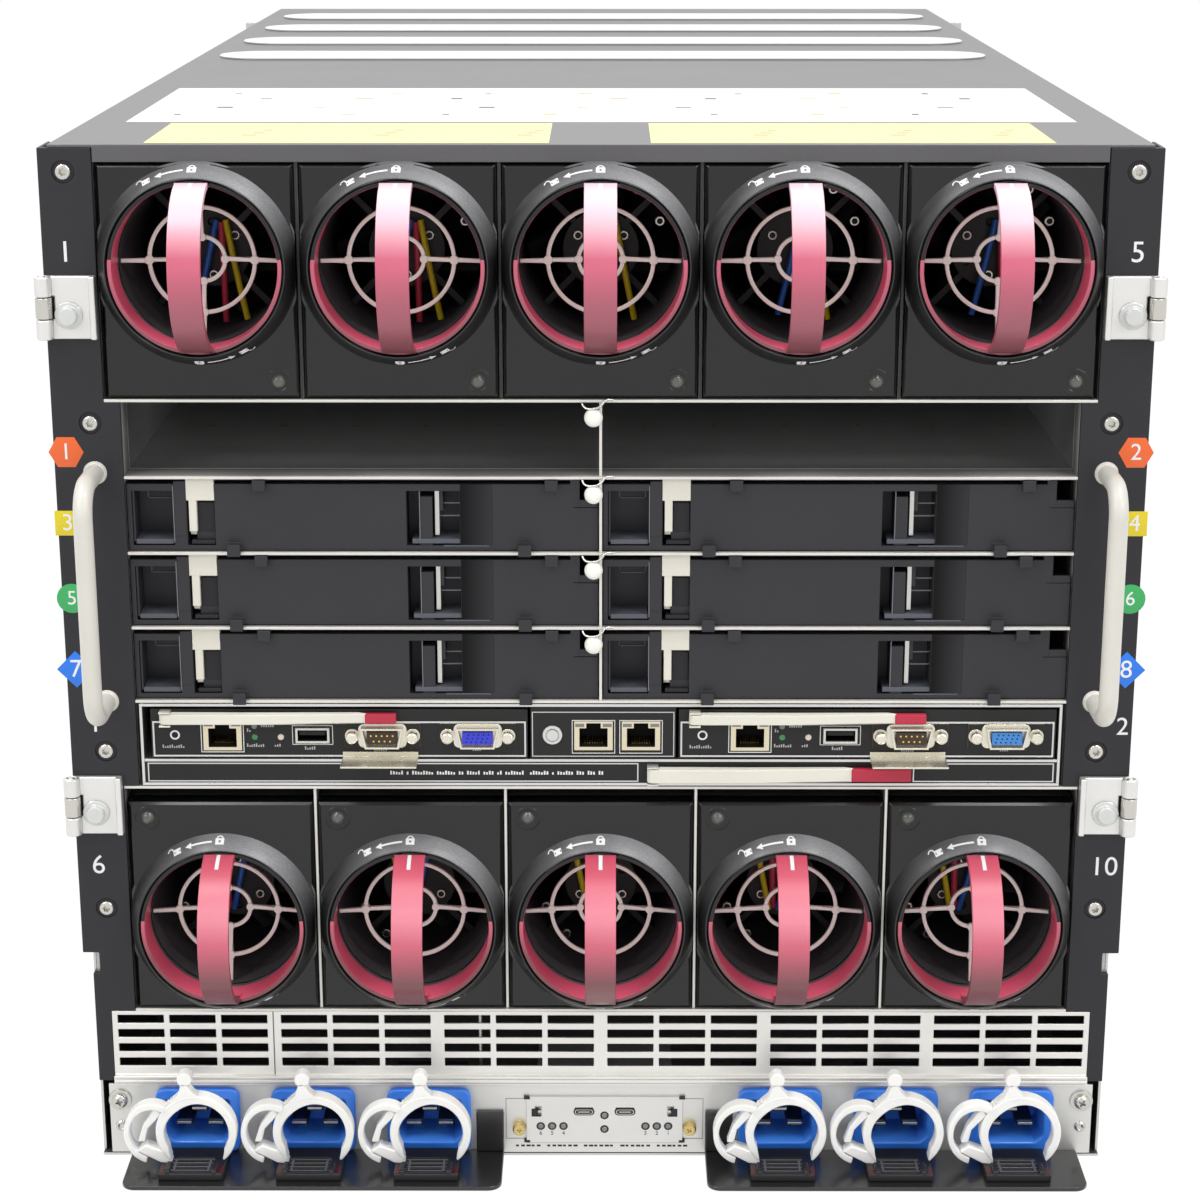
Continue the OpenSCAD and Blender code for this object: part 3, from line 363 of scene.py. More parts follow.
def skin_between(shape, loops, picks=None):
    """Faces between closed loops that follow each other, all of one length."""
    count = len(loops[0])
    for step, (near, far) in enumerate(zip(loops, loops[1:])):
        for k in range(count):
            face = shape.faces.new((near[k], near[(k + 1) % count], far[(k + 1) % count], far[k]))
            face.material_index = picks[step] if picks else 0


def finished(name, shape, finishes, angle=0):
    """Makes the shape's mesh, with its finishes, smooth up to an angle."""
    bmesh.ops.recalc_face_normals(shape, faces=shape.faces)
    mesh = bpy.data.meshes.new(name)
    shape.to_mesh(mesh)
    shape.free()
    for finish in finishes if isinstance(finishes, list) else [finishes]:
        mesh.materials.append(finish)
    if angle:
        mesh.shade_smooth()
        mesh.set_sharp_from_angle(angle=math.radians(angle))
    return mesh


def turned(name, profile, finishes, sides=40):
    """A piece turned about Y. The profile runs from the front centre outward
    and back: (radius, y) in millimetres, with the radius a number or a rule."""
    lathe = bmesh.new()
    loops = []
    for radius, y in profile:
        loop = []
        for k in range(sides):
            turn = 2 * math.pi * k / sides
            reach = radius(turn) if callable(radius) else radius
            loop.append(lathe.verts.new((reach * math.cos(turn) * mm, y * mm, reach * math.sin(turn) * mm)))
        loops.append(loop)
    skin_between(lathe, loops)
    lathe.faces.new(loops[0])
    lathe.faces.new(loops[-1])
    return finished(name, lathe, finishes, 42)


def place(name, mesh, spot, body, turn=0, slot=None, tilt=None):
    """Sets a mesh at a spot, turned about Y by some degrees, on its body."""
    piece = bpy.data.objects.new(name, mesh)
    piece.matrix_world = Matrix.Translation(spot) @ Matrix.Rotation(math.radians(turn), 4, "Y")
    if tilt:
        piece.matrix_world = piece.matrix_world @ tilt
    return stand(piece, body, slot=slot)


dimple_steel = galvanised("dimple_steel", (190, 188, 184), 0.08, 0.34)
dimple = turned("dimple", [(0.4, -0.6), (1.0, -0.5), (1.5, -0.1), (1.7, 0.05)], dimple_steel, 20)
upright = Matrix.Rotation(math.radians(-90), 4, "X")
bay_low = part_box("bay_blank_1")[0].x
open_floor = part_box("bay_blank_1")[1].z + 2.9 * mm + 1.2 * mm
dimple_first, dimple_pitch, dimple_depth = 24, 31.5, 86
for n in range(12):
    x = bay_low + dimple_first * mm + n * dimple_pitch * mm
    if abs(x) > 8 * mm:
        spot = (x, rear_y + dimple_depth * mm, open_floor)
        place(f"shelf_dimple_{n + 1}", dimple, spot, "enclosure", slot="bare_sheet", tilt=upright)

# ------------------------------------------------------------- the midplane
# A thick green circuit board across the case, with black pressed-in plugs
# toward the bays on both of its sides.


def moulded(name, colour, rough=0.42, mottle=0.25, grain=1600, depth=0.02, coat=0.0, specular=0.5):
    """Injection-moulded plastic: fine spark-eroded grain and faint clouding."""
    finish = Finish(name)
    cloud = finish.noise(26, 3)
    skin = finish.noise(grain, 2)
    dark = tone(*[v * (1 - mottle * 0.5) for v in colour])
    pale = tone(*[min(255, v * (1 + mottle * 0.5)) for v in colour])
    colour_wire = finish.blend(cloud * 0.7 + skin * 0.3, dark, pale)
    return finish.shade(Base_Color=colour_wire, Roughness=cloud * 0.12 + skin * 0.1 + (rough - 0.1),
                        Specular_IOR_Level=specular, Coat_Weight=coat, Coat_Roughness=0.12,
                        Normal=finish.bump(skin, depth * mm, 0.5))


board_green = moulded("board_green", (22, 70, 48), 0.4)
plug_black = moulded("plug_black", (30, 30, 32), 0.5)


def board_or_plug(low, high):
    return 0 if high.x - low.x > 200 * mm else 1


board = pressed("midplane_board", "midplane", [board_green, plug_black], board_or_plug)
stand(board, "enclosure", "midplane", slot="board")

# ------------------------------------------------------------ the top cover
# One sheet painted dark grey, with stadium ribs pressed up across it and a lip folded down over the upper fans.
# The rib tops are coloured near white as a painted highlight. Paper labels with plain marks lie on it.
cover_finish = Finish("cover_paint")
fleck = cover_finish.noise(2600, 2)
drift = cover_finish.noise(14, 3)
# Dark grey paint, turning near white above 2.2 mm over the case top, on the rib tops: a painted highlight.
cover_paint = cover_finish.shade(
    Base_Color=cover_finish.blend(
        cover_finish.along("Z", case_top + 1.4, case_top + 2.2),
        cover_finish.blend(drift * 0.4 + fleck * 0.6, tone(58, 57, 59), tone(108, 106, 108)),
        tone(232, 232, 234)),
    Roughness=drift * 0.1 + fleck * 0.14 + 0.22,
    Specular_IOR_Level=0.6,
    Normal=cover_finish.bump(fleck, 0.03 * mm, 0.5))
cover = pressed("top_cover_sheet", "top_cover", [cover_paint], width=0.4)
stand(cover, "enclosure", "top_cover", slot="cover_paint")


def slab(shape, low, high, pick=0):
    """Adds a block between two corners, in millimetres, to a shape."""
    corners = [shape.verts.new(((high if k & 4 else low)[0] * mm, (high if k & 2 else low)[1] * mm,
                                (high if k & 1 else low)[2] * mm))
               for k in range(8)]
    for side in ((0, 1, 3, 2), (4, 6, 7, 5), (0, 4, 5, 1), (2, 3, 7, 6), (0, 2, 6, 4), (1, 5, 7, 3)):
        shape.faces.new([corners[k] for k in side]).material_index = pick


def built(name, shape, finishes, width=0.0, smooth=True, spot=None):
    """Turns a shape into a piece, its edges broken where a width is given."""
    piece = bpy.data.objects.new(name, finished(name, shape, finishes, 40 if smooth else 0))
    if spot:
        piece.location = spot
    return round_edges(piece, width) if width else piece


def paper_label(name, colour):
    """Coated paper with a faint fibre."""
    finish = Finish(name)
    fibre = finish.noise(700, 4)
    sheen = finish.noise(30, 2)
    return finish.shade(Base_Color=finish.blend(fibre, tone(*colour), tone(*[v * 0.95 for v in colour])),
                        Roughness=sheen * 0.2 + 0.35, Normal=finish.bump(fibre, 0.02 * mm, 0.4))


white_label = paper_label("white_label", (236, 236, 234))
yellow_label = paper_label("yellow_label", (232, 224, 158))
label_ink = paper_label("label_ink", (86, 86, 88))
deck = case_top + 1.2
notes = bmesh.new()
slab(notes, (-202, rear + 84, deck), (202, rear + 236, deck + 0.12))
for x0, x1 in ((-181.8, -20.6), (20, 181)):
    slab(notes, (x0, rear + 5, deck), (x1, rear + 79, deck + 0.12), 1)
ink_low, ink_high = deck + 0.1, deck + 0.16
for x0, x1, y in ((-186, -12, 160), (24, 192, 160), (-186, -30, 222), (60, 192, 222)):
    slab(notes, (x0, rear + y, ink_low), (x1, rear + y + 1.8, ink_high), 3)
for n in range(26):
    x = -186 + n * 14.6
    for row, depth in enumerate((112, 142, 182, 206)):
        if (n * 7 + row * 5) % 11 < 3:
            y = rear + depth
            slab(notes, (x, y, ink_low), (x + 3 + (n * 3 + row) % 6, y + 4 + (n + row) % 4, ink_high),
                 2 + (n + row) % 2)
for x in (-146, -92, -34, 62, 118, 160):
    for step in range(3):
        y = rear + 30 + step * 9
        slab(notes, (x + step * 3.4, y, ink_low), (x + 6 + step * 2.2, y + 6, ink_high), 3)
label_tan = paper_label("label_tan", (196, 184, 140))
labels = [white_label, yellow_label, label_ink, label_tan]
stand(built("top_labels", notes, labels, smooth=False), "enclosure")

# --------------------------------------------------------- the rear columns
# Two folded steel strips with a satin charcoal paint, screwed over the case's
# edges. White numerals are printed on them, and small coloured badges stuck.
column_paint = moulded("column_paint", (41, 41, 45), 0.46, 0.16, 3000, 0.015, specular=0.4)
columns = pressed("column_strips", "rear_columns", [column_paint], width=0.45)
stand(columns, "enclosure", "rear_columns", slot="column_paint")

white_print = moulded("white_print", (236, 236, 236), 0.5, 0.06, 2400, 0.01)


def numeral(name, digits, x, z, size, proud, finish, body="enclosure"):
    """Printed figures, upright on a face that looks to the rear."""
    letters = bpy.data.curves.new(name, "FONT")
    letters.body, letters.size = digits, size * mm
    letters.align_x, letters.align_y = "CENTER", "CENTER"
    letters.extrude = 0.02 * mm
    written = bpy.data.objects.new(name + "_outline", letters)
    bpy.context.scene.collection.objects.link(written)
    bpy.context.view_layer.update()
    mesh = bpy.data.meshes.new_from_object(written)
    bpy.data.objects.remove(written)
    mesh.materials.clear()
    mesh.materials.append(finish)
    piece = bpy.data.objects.new(name, mesh)
    piece.rotation_euler = (math.pi / 2, 0, 0)
    piece.location = (x * mm, (rear - proud) * mm, z * mm)
    return stand(piece, body)


upper_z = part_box("fan_handle_1")[0].z / mm + 34.85
for n, (digits, x, z, size) in enumerate((
        ("1", -214.2, upper_z + 5, 12), ("5", 214.8, upper_z + 5, 12), ("6", -214.5, 136.9, 12),
        ("10", 215.0, 136.4, 12), ("1", -212.6, 200.4, 11), ("2", 219.4, 199.4, 11))):
    numeral(f"column_numeral_{n + 1}", digits, x, z, size, 0.03, white_print)


def badge(name, sides, turn, radius, x, z, finish, digit):
    """A flat vinyl badge with a figure on it."""
    disc = bmesh.new()
    loops = []
    turns = [math.radians(turn) + 2 * math.pi * k / sides for k in range(sides)]
    for reach, y in ((radius, 0.0), (radius, -0.12), (radius - 0.12, -0.16)):
        loops.append([disc.verts.new((reach * mm * math.cos(a), y * mm, reach * mm * math.sin(a)))
                      for a in turns])
    skin_between(disc, loops)
    disc.faces.new(loops[-1])
    disc.faces.new(loops[0])
    stand(built(name, disc, finish, spot=(x * mm, rear_y, z * mm)), "enclosure")
    numeral(name + "_figure", digit, x, z, radius * 1.35, 0.2, white_print)


badges = [("orange", (236, 105, 52), 6, 0, 7.2, 317.5), ("yellow", (226, 205, 40), 4, 45, 7.4, 287.6),
          ("green", (62, 170, 96), 32, 0, 6.3, 255.4), ("blue", (44, 120, 232), 4, 0, 8.0, 224.6)]
for level, (shade_name, colour, sides, turn, radius, z) in enumerate(badges):
    vinyl = moulded("badge_" + shade_name, colour, 0.4, 0.08, 1800, 0.01)
    for side in (0, 1):
        x = -218.4 - (level > 0) if side == 0 else 218.6 + (level > 0)
        badge(f"badge_{shade_name}_{side + 1}", sides, turn, radius, x, z, vinyl, str(2 * level + side + 1))

# ------------------------------------------------------ screws, lugs, knobs
# Zinc-plated screws with a six-lobed socket hold the columns, pan screws the
# power panel, and rivets the case's sides. Ivory knobs, each with a wire spring,
# sit on the middle of the sheets.
zinc = galvanised("zinc", (205, 203, 196), 0.1, 0.26)
knob_ivory = moulded("knob_ivory", (252, 249, 240), 0.38, 0.05, 1500, 0.01)


def lobed(radius, lobes, depth):
    return lambda turn: radius + depth * math.cos(lobes * turn)


column_screw = turned("column_screw", [
    (lobed(1.2, 6, 0.2), 1.0), (lobed(1.25, 6, 0.22), -0.55), (lobed(1.4, 6, 0.2), -0.82), (2.3, -0.86),
    (2.85, -0.62), (3.1, -0.25), (3.1, 1.0)], zinc, 48)
pan_screw = turned("pan_screw", [
    (lobed(1.1, 4, 0.5), -1.4), (lobed(1.2, 4, 0.5), -3.0), (lobed(1.35, 4, 0.45), -3.4), (2.2, -3.5),
    (2.9, -3.0), (3.4, -2.0), (3.4, -1.1), (4.9, -1.05), (5.0, -0.8), (5.0, 0.0)], zinc, 48)
rivet = turned("rivet", [(0.9, -0.5), (1.5, -1.0), (2.3, -0.6), (2.6, 0.0)], zinc, 32)
fixings, found = solids("rear_fixings")
fixings.free()
knob_spots = []
for n, (low, high, _) in enumerate(found):
    middle, size = (low + high) / 2 / mm, (high - low) / mm
    if abs(middle.x) < 20:
        knob_spots.append(middle)
    elif abs(size.x - 6.2) < 0.3 and abs(size.z - 6.2) < 0.3:
        place(f"column_screw_{n}", column_screw, (middle.x * mm, rear_y, middle.z * mm), "enclosure",
              turn=n * 37, slot="zinc")
    elif abs(size.x - 10) < 0.3:
        place(f"pan_screw_{n}", pan_screw, (middle.x * mm, rear_y, middle.z * mm), "enclosure",
              turn=n * 23, slot="zinc")
    elif abs(size.x - 5.2) < 0.3:
        place(f"rivet_{n}", rivet, (middle.x * mm, rear_y, middle.z * mm), "enclosure", slot="zinc")



def stud(shape, spot, radii, depth, lie, sides=20):
    """Adds a short cone, its middle at a spot, and gives its corners back."""
    made = bmesh.ops.create_cone(shape, cap_ends=True, segments=sides, radius1=radii[0] * mm,
                                 radius2=radii[1] * mm, depth=depth * mm,
                                 matrix=Matrix.Translation(spot) @ lie)
    return made["verts"]


shell_low, shell_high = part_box("lower_shell")
rivet_inset, rivet_first, rivet_pitch = 9, 52, 86
side_rivets = bmesh.new()
for side, face_x in ((-1, shell_low.x), (1, shell_high.x)):
    sideways = Matrix.Rotation(math.radians(90 * side), 4, "Y")
    for k in range(9):
        y = shell_low.y + (rivet_first + k * rivet_pitch) * mm
        for z in (shell_low.z + rivet_inset * mm, shell_high.z - rivet_inset * mm):
            for radii, depth in (((2.6, 2.0), 0.9), ((1.1, 0.9), 1.2)):
                stud(side_rivets, (face_x + side * depth / 2 * mm, y, z), radii, depth, sideways)
stand(built("side_rivets", side_rivets, zinc, width=0.15), "enclosure", slot="zinc")


def lug_only(low, high):
    size, middle = (high - low) / mm, (low + high) / 2 / mm
    return 0 if abs(middle.x) > 215 and size.z > 7.5 else None


lugs = pressed("latch_lugs", "rear_fixings", [zinc], lug_only, width=0.3)
stand(lugs, "enclosure", "rear_fixings", slot="zinc")


def wire_run(name, runs, radius, finishes, spot=None):
    """Round wire bent along points; each run is (points, finish number)."""
    mesh_shape = bmesh.new()
    for points, pick in runs:
        path = [Vector(p) * mm for p in points]
        rings = []
        for k, point in enumerate(path):
            ahead = (path[min(k + 1, len(path) - 1)] - path[max(k - 1, 0)]).normalized()
            side = ahead.orthogonal().normalized()
            if rings:
                side = (keep - ahead * keep.dot(ahead)).normalized()
            keep = side
            other = ahead.cross(side)
            rings.append([mesh_shape.verts.new(point + (side * math.cos(a) + other * math.sin(a)) * radius * mm)
                          for a in (2 * math.pi * j / 12 for j in range(12))])
        skin_between(mesh_shape, rings, [pick] * len(rings))
        for cap in (rings[0], rings[-1]):
            mesh_shape.faces.new(cap).material_index = pick
    return built(name, mesh_shape, finishes, spot=spot)


def arc(start, middle, end, steps=10):
    """Points on a soft bend through three guides."""
    a, b, c = Vector(start), Vector(middle), Vector(end)
    return [a * (1 - t) ** 2 + b * 2 * t * (1 - t) + c * t ** 2
            for t in (k / steps for k in range(steps + 1))]


knob = turned("knob_head", [
    (0.3, -5.2), (2.0, -5.0), (3.2, -4.2), (3.75, -3.0), (3.8, -1.8), (3.4, -0.6), (3.0, 0.0)],
    knob_ivory, 32)
hook = arc((-4.6, -0.7, 5.6), (-4.0, -2.4, 3.0), (0.4, -3.6, 4.0))
hook += arc((0.4, -3.6, 4.0), (3.2, -3.6, 4.4), (4.2, -2.4, 6.6))[1:]
hook += arc((4.2, -2.4, 6.6), (5.4, -1.4, 7.8), (8.2, -0.8, 7.0))[1:]
for n, middle in enumerate(sorted(knob_spots, key=lambda s: s.z)):
    spot = (middle.x * mm, rear_y, middle.z * mm)
    place(f"divider_knob_{n + 1}", knob, spot, "enclosure", slot="zinc")
    spring = wire_run(f"knob_spring_{n + 1}", [(hook, 0)], 0.45, zinc, spot=spot)
    stand(spring, "enclosure", slot="zinc")

# --------------------------------------------------------- the carry handles
# A steel rod bent to a bow and dip-coated in ivory plastic, riveted through
# the column with a small flare at each foot.
handle_coat = moulded("handle_coat", (218, 215, 206), 0.4, 0.08, 1200, 0.03, coat=0.15)
handles = pressed("carry_handle_bows", "carry_handles", [handle_coat], width=0.15)
stand(handles, "enclosure", "carry_handles", slot="handle_coat")
foot_flare = turned("foot_flare", [(3.0, -1.9), (4.1, -1.5), (4.7, -0.5), (4.9, 0.0)], handle_coat, 36)
handles_low, handles_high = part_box("carry_handles")
rod = 3.9 * mm
for side, x in ((1, handles_low.x + rod), (2, handles_high.x - rod)):
    for foot, z in ((1, handles_low.z + rod), (2, handles_high.z - rod)):
        place(f"handle_foot_{side}_{foot}", foot_flare, (x, rear_y, z), "enclosure", slot="handle_coat")

# ------------------------------------------------------------ the vent grille
# One punched sheet of bright steel with six groups of slots over the power
# supplies, in two lengths that meet at a seam. Its lower edge is hemmed.
vent_sheet = galvanised("vent_sheet", (232, 230, 225), 0.06, 0.42, (0.4, 1, 1))
vent = pressed("vent_sheet_punched", "vent_grille", [vent_sheet], width=0.35)
stand(vent, "enclosure", "vent_grille", slot="bare_sheet")
vent_low, vent_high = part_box("vent_grille")
seam = bmesh.new()
ridge_z = vent_low.z / mm
slab(seam, (-142.6, rear - 0.25, ridge_z + 4.2), (-142.1, rear + 0.1, vent_high.z / mm - 0.2))
for k, depth in enumerate((0.5, 1.5, 2.5)):
    slab(seam, (vent_low.x / mm + 0.6, rear - 2.4 - 0.35 * (k == 1), ridge_z + 0.3 + depth),
         (vent_high.x / mm - 0.6, rear - 2.0, ridge_z + 0.75 + depth), k % 2)
hem_shadow = galvanised("hem_shadow", (120, 118, 114), 0.1, 0.5)
stand(built("vent_hem", seam, [hem_shadow, vent_sheet], width=0.12), "enclosure", slot="bare_sheet")
guide = wire_run("supply_guide_rod", [([(-52.8, 0, -14), (-52.8, 0, 14)], 0)], 0.9, zinc,
                 spot=(0, rear_y + 9 * mm, (vent_low.z + vent_high.z) / 2))
stand(guide, "enclosure", slot="bare_sheet")

# ---------------------------------------------------------- the power panel
# A galvanised plate with six blue inlets snapped through it and a status
# module between them, held by two knurled brass thumbscrews.
panel_sheet = galvanised("panel_sheet", (222, 221, 217), 0.12, 0.38)
panel = pressed("power_plate", "power_panel", [panel_sheet], width=0.3)
stand(panel, "enclosure", "power_panel", slot="bare_sheet")

inlet_blue = moulded("inlet_blue", (58, 132, 246), 0.32, 0.12, 1500, 0.015, coat=0.2)
# A lighter copy of the inlet blue, for the walls inside each socket: painted light.
inlet_blue_painted_light = moulded("inlet_blue_painted_light", (76, 146, 255), 0.4, 0.12, 1500, 0.015)
blade_metal = galvanised("blade_metal", (214, 208, 190), 0.05, 0.24)
inlet_back = moulded("inlet_back", (20, 22, 30), 0.6)


def reach_at(outline, turn):
    """How far an outline lies from its middle in one direction."""
    dx, dz = math.cos(turn), math.sin(turn)
    best = 0.0
    for (x0, z0), (x1, z1) in zip(outline, outline[1:] + outline[:1]):
        cross = dx * (z1 - z0) - dz * (x1 - x0)
        if abs(cross) > 1e-9:
            far = (x0 * (z1 - z0) - z0 * (x1 - x0)) / cross
            share = (x0 * dz - z0 * dx) / cross
            if far > 0 and -1e-6 <= share <= 1 + 1e-6:
                best = max(best, far)
    return best


def rounded(half_w, half_h, radius, steps=6):
    """A rectangle's outline with rounded corners."""
    return [(sx * (half_w - radius) + radius * math.cos(math.radians(q + 90 * k / steps)),
             sz * (half_h - radius) + radius * math.sin(math.radians(q + 90 * k / steps)))
            for sx, sz, q in ((1, 1, 0), (-1, 1, 90), (-1, -1, 180), (1, -1, 270)) for k in range(steps + 1)]


def nested(shape, rings, picks, sides=72):
    """Skins between outlines one behind another: each ring is (outline, y)."""
    turns = [2 * math.pi * (k + 0.5) / sides for k in range(sides)]
    loops = []
    for line, y in rings:
        reaches = [reach_at(line, t) for t in turns]
        loops.append([shape.verts.new((reach * math.cos(t) * mm, y * mm, reach * math.sin(t) * mm))
                      for reach, t in zip(reaches, turns)])
    skin_between(shape, loops, picks)
    shape.faces.new(loops[-1]).material_index = picks[-1]


def cut_corners(half_w, top, foot, corner):
    """The socket's outline: square at the top, with both lower corners cut."""
    return [(-half_w, top), (-half_w, -foot + corner), (-half_w + corner, -foot),
            (half_w - corner, -foot), (half_w, -foot + corner), (half_w, top)]


inlet_shape = bmesh.new()
# The last band and the floor of each socket take the lighter blue: painted light.
nested(inlet_shape, [
    (rounded(18.4, 15, 4), 0.0), (rounded(18.4, 15, 4), -2.2), (rounded(18.1, 14.7, 3.7), -2.8),
    (rounded(17.5, 14.1, 3.2), -3.0), (cut_corners(14.6, 10.6, 10.4, 3.4), -3.0),
    (cut_corners(14, 10, 9.8, 3.2), -2.3),
    (cut_corners(13.9, 9.9, 9.8, 3.2), 19.6)], [0, 0, 0, 0, 0, 3, 3])
for x, z in ((0, 4), (-7, -3), (7, -3)):
    slab(inlet_shape, (x - 3.6, 4.6, z - 2.6), (x + 3.6, 19, z + 0.4), 2)
    slab(inlet_shape, (x - 3.2, 2.0, z - 0.9), (x + 3.2, 19, z + 0.3), 1)
slab(inlet_shape, (-16, 19.7, -12.6), (16, 31.5, 12.6), 2)
slab(inlet_shape, (-16, 0.2, 11.4), (16, 19.7, 12.6), 2)
inlet_mesh = built("power_inlet", inlet_shape, [inlet_blue, blade_metal, inlet_back, inlet_blue_painted_light], width=0.25)
skin, found = solids("power_inlets")
skin.free()
backs = sorted({round((low.x + high.x) / 2 / mm, 1) for low, high, _ in found if high.x - low.x > 30 * mm})
inlet_z = (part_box("power_inlets")[0].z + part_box("power_inlets")[1].z) / 2
for n, x in enumerate(backs):
    inlet = inlet_mesh.copy()
    inlet.name = f"power_inlet_{n + 1}"
    inlet.location = (x * mm, rear_y, inlet_z)
    stand(inlet, "enclosure", *(["power_inlets"] if n == 0 else []), slot="inlet_plastic")

brass = galvanised("thumbscrew_brass", (212, 190, 128), 0.06, 0.3)
lamp_off = moulded("lamp_grey", (126, 127, 130), 0.25, 0.1, coat=0.4)
outline_black = moulded("outline_black", (28, 28, 30), 0.5)
seam_grey = moulded("seam_grey", (150, 149, 144), 0.5)


def plate_or_screw(low, high):
    return None if high.x - low.x < 8 * mm else 0


status = pressed("status_plate", "status_module", [panel_sheet], plate_or_screw, width=0.12)
stand(status, "enclosure", "status_module", slot="bare_sheet")


def middle_of(node):
    """The middle of a node's box, in millimetres."""
    low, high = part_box(node)
    return (low + high) / 2 / mm


status_x, status_z = middle_of("status_module").x, middle_of("power_panel").z
thumb = turned("thumbscrew", [
    (lobed(0.7, 4, 0.35), -2.9), (lobed(0.8, 4, 0.4), -3.7), (1.7, -3.9), (2.4, -3.8),
    (lobed(2.75, 24, 0.14), -3.3), (lobed(2.85, 24, 0.15), -0.6), (2.6, 0.0)], brass, 96)
for n, side in enumerate((-1, 1)):
    spot = ((status_x + side * 37.4) * mm, rear_y, (status_z - 4) * mm)
    place(f"thumbscrew_{n + 1}", thumb, spot, "enclosure", turn=31 * n, slot="zinc")


def frame_line(shape, x0, x1, z0, z1, proud, line, pick=0):
    """A thin printed outline standing on a rear face."""
    for a, b, c, d in ((x0, x1, z0, z0 + line), (x0, x1, z1 - line, z1),
                       (x0, x0 + line, z0 + line, z1 - line), (x1 - line, x1, z0 + line, z1 - line)):
        slab(shape, (a, rear - proud, c), (b, rear - proud + 0.05, d), pick)


def status_mark(x0, x1, y0, y1, z0, z1):
    """A block on the status module, from its middle and the rear face."""
    slab(marks, (status_x + x0, rear + y0, status_z + z0), (status_x + x1, rear + y1, status_z + z1))


marks = bmesh.new()
frame_line(marks, status_x - 43.4, status_x + 43.4, status_z - 9.8, status_z + 9.8, 0.06, 0.35, 1)
status_mark(-34.6, 34.6, -0.3, 0, -11.6, -10.9)
for side in (-1, 1):
    for z in (-10.9, 9.9):
        status_mark(side * 34 - 1.3, side * 34 + 1.3, -1.5, 0, z, z + 1.1)
    status_mark(side * 30.6 - 1.4, side * 30.6 + 1.4, -1.5, -0.6, 1.6, 5.4)
    for z in (1.6, 4.6):
        status_mark(side * 28.8 - 0.9, side * 28.8 + 0.9, -1.5, -1.3, z, z + 0.8)
for k in range(34):
    if k % 7 != 5:
        x = -39 + k * 2.3
        status_mark(x, x + 1.3 + k % 3 * 0.3, -0.06, 0, -13.6, -12.7)
stand(built("status_outlines", marks, [outline_black, seam_grey], smooth=False), "enclosure")
lamp = turned("status_lamp", [(0.3, -0.5), (0.9, -0.35), (1.3, 0.0), (1.35, 0.3)], lamp_off, 24)
lamp_ring = turned("status_lamp_ring", [(1.35, -0.1), (1.7, -0.12), (1.9, 0.0)], outline_black, 28)
lamp_row = (-28, -23, -18, 18, 23, 28)
for n, (dx, dz) in enumerate([(dx, -3) for dx in lamp_row] + [(0, 2.2), (0, -4.4)]):
    spot = ((status_x + dx) * mm, (rear - 1.42) * mm, (status_z + dz) * mm)
    place(f"status_lamp_{n + 1}", lamp, spot, "enclosure", slot="bare_sheet")
    place(f"status_lamp_ring_{n + 1}", lamp_ring, spot, "enclosure", slot="bare_sheet")
for dx, digit in zip(lamp_row, "654321"):
    numeral(f"status_digit_{digit}", digit, status_x + dx, status_z - 6.4, 2.6, 1.45, outline_black)
port_steel = galvanised("port_steel", (190, 188, 182), 0.05, 0.25)
ports = bmesh.new()
nested(ports, [(rounded(4.6, 1.75, 1.7), 0.0), (rounded(4.6, 1.75, 1.7), -0.2),
               (rounded(4.2, 1.4, 1.35), -0.24)], [0, 0, 0])
nested(ports, [(rounded(4.0, 1.2, 1.15), -0.25), (rounded(4.0, 1.2, 1.15), -0.5),
               (rounded(3.6, 0.9, 0.85), -0.5), (rounded(3.5, 0.85, 0.8), -0.3)], [1, 1, 1, 0])
slab(ports, (-2.6, -0.45, -0.25), (2.6, -0.2, 0.25), 1)
port = built("status_port", ports, [outline_black, port_steel])
for side in (-1, 1):
    socket = port.copy()
    socket.name = f"status_port_{side + 2}"
    socket.location = ((status_x + side * 9) * mm, (rear - 1.4) * mm, (status_z + 4) * mm)
    stand(socket, "enclosure", slot="bare_sheet")

# ------------------------------------------------------- the cable retainers
# Black steel brackets carry ribbed black sliders, and each slider holds a
# milky nylon clamp that closes round a cord with a ratchet and a thumb tab.
bracket_black = moulded("bracket_black", (34, 34, 35), 0.3, 0.3, 500, 0.04, coat=0.4)
slider_black = moulded("slider_black", (34, 34, 36), 0.4)
nylon = Finish("milky_nylon")
milk = nylon.noise(60, 3)
clamp_nylon = nylon.shade(Base_Color=nylon.blend(milk, tone(255, 255, 252), tone(250, 248, 240)),
                          Roughness=milk * 0.15 + 0.3, Subsurface_Weight=0.25, Subsurface_Scale=3 * mm,
                          Subsurface_Radius=(1.0, 0.9, 0.7), Normal=nylon.bump(milk, 0.05 * mm, 0.3))


def retainer_finish(low, high):
    size = (high - low) / mm
    if size.x > 100 or size.y < 3:
        return 0
    return 1 if size.z < 8 else None


retainers = pressed("cable_retainer_parts", "cable_retainers", [bracket_black, slider_black],
                    retainer_finish, width=0.55)
stand(retainers, "enclosure", "cable_retainers", slot="clamp_plastic")
retainers_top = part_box("cable_retainers")[1].z / mm
skin, found = solids("cable_retainers")
skin.free()
red_stop = moulded("slider_red", (66, 14, 18), 0.4)
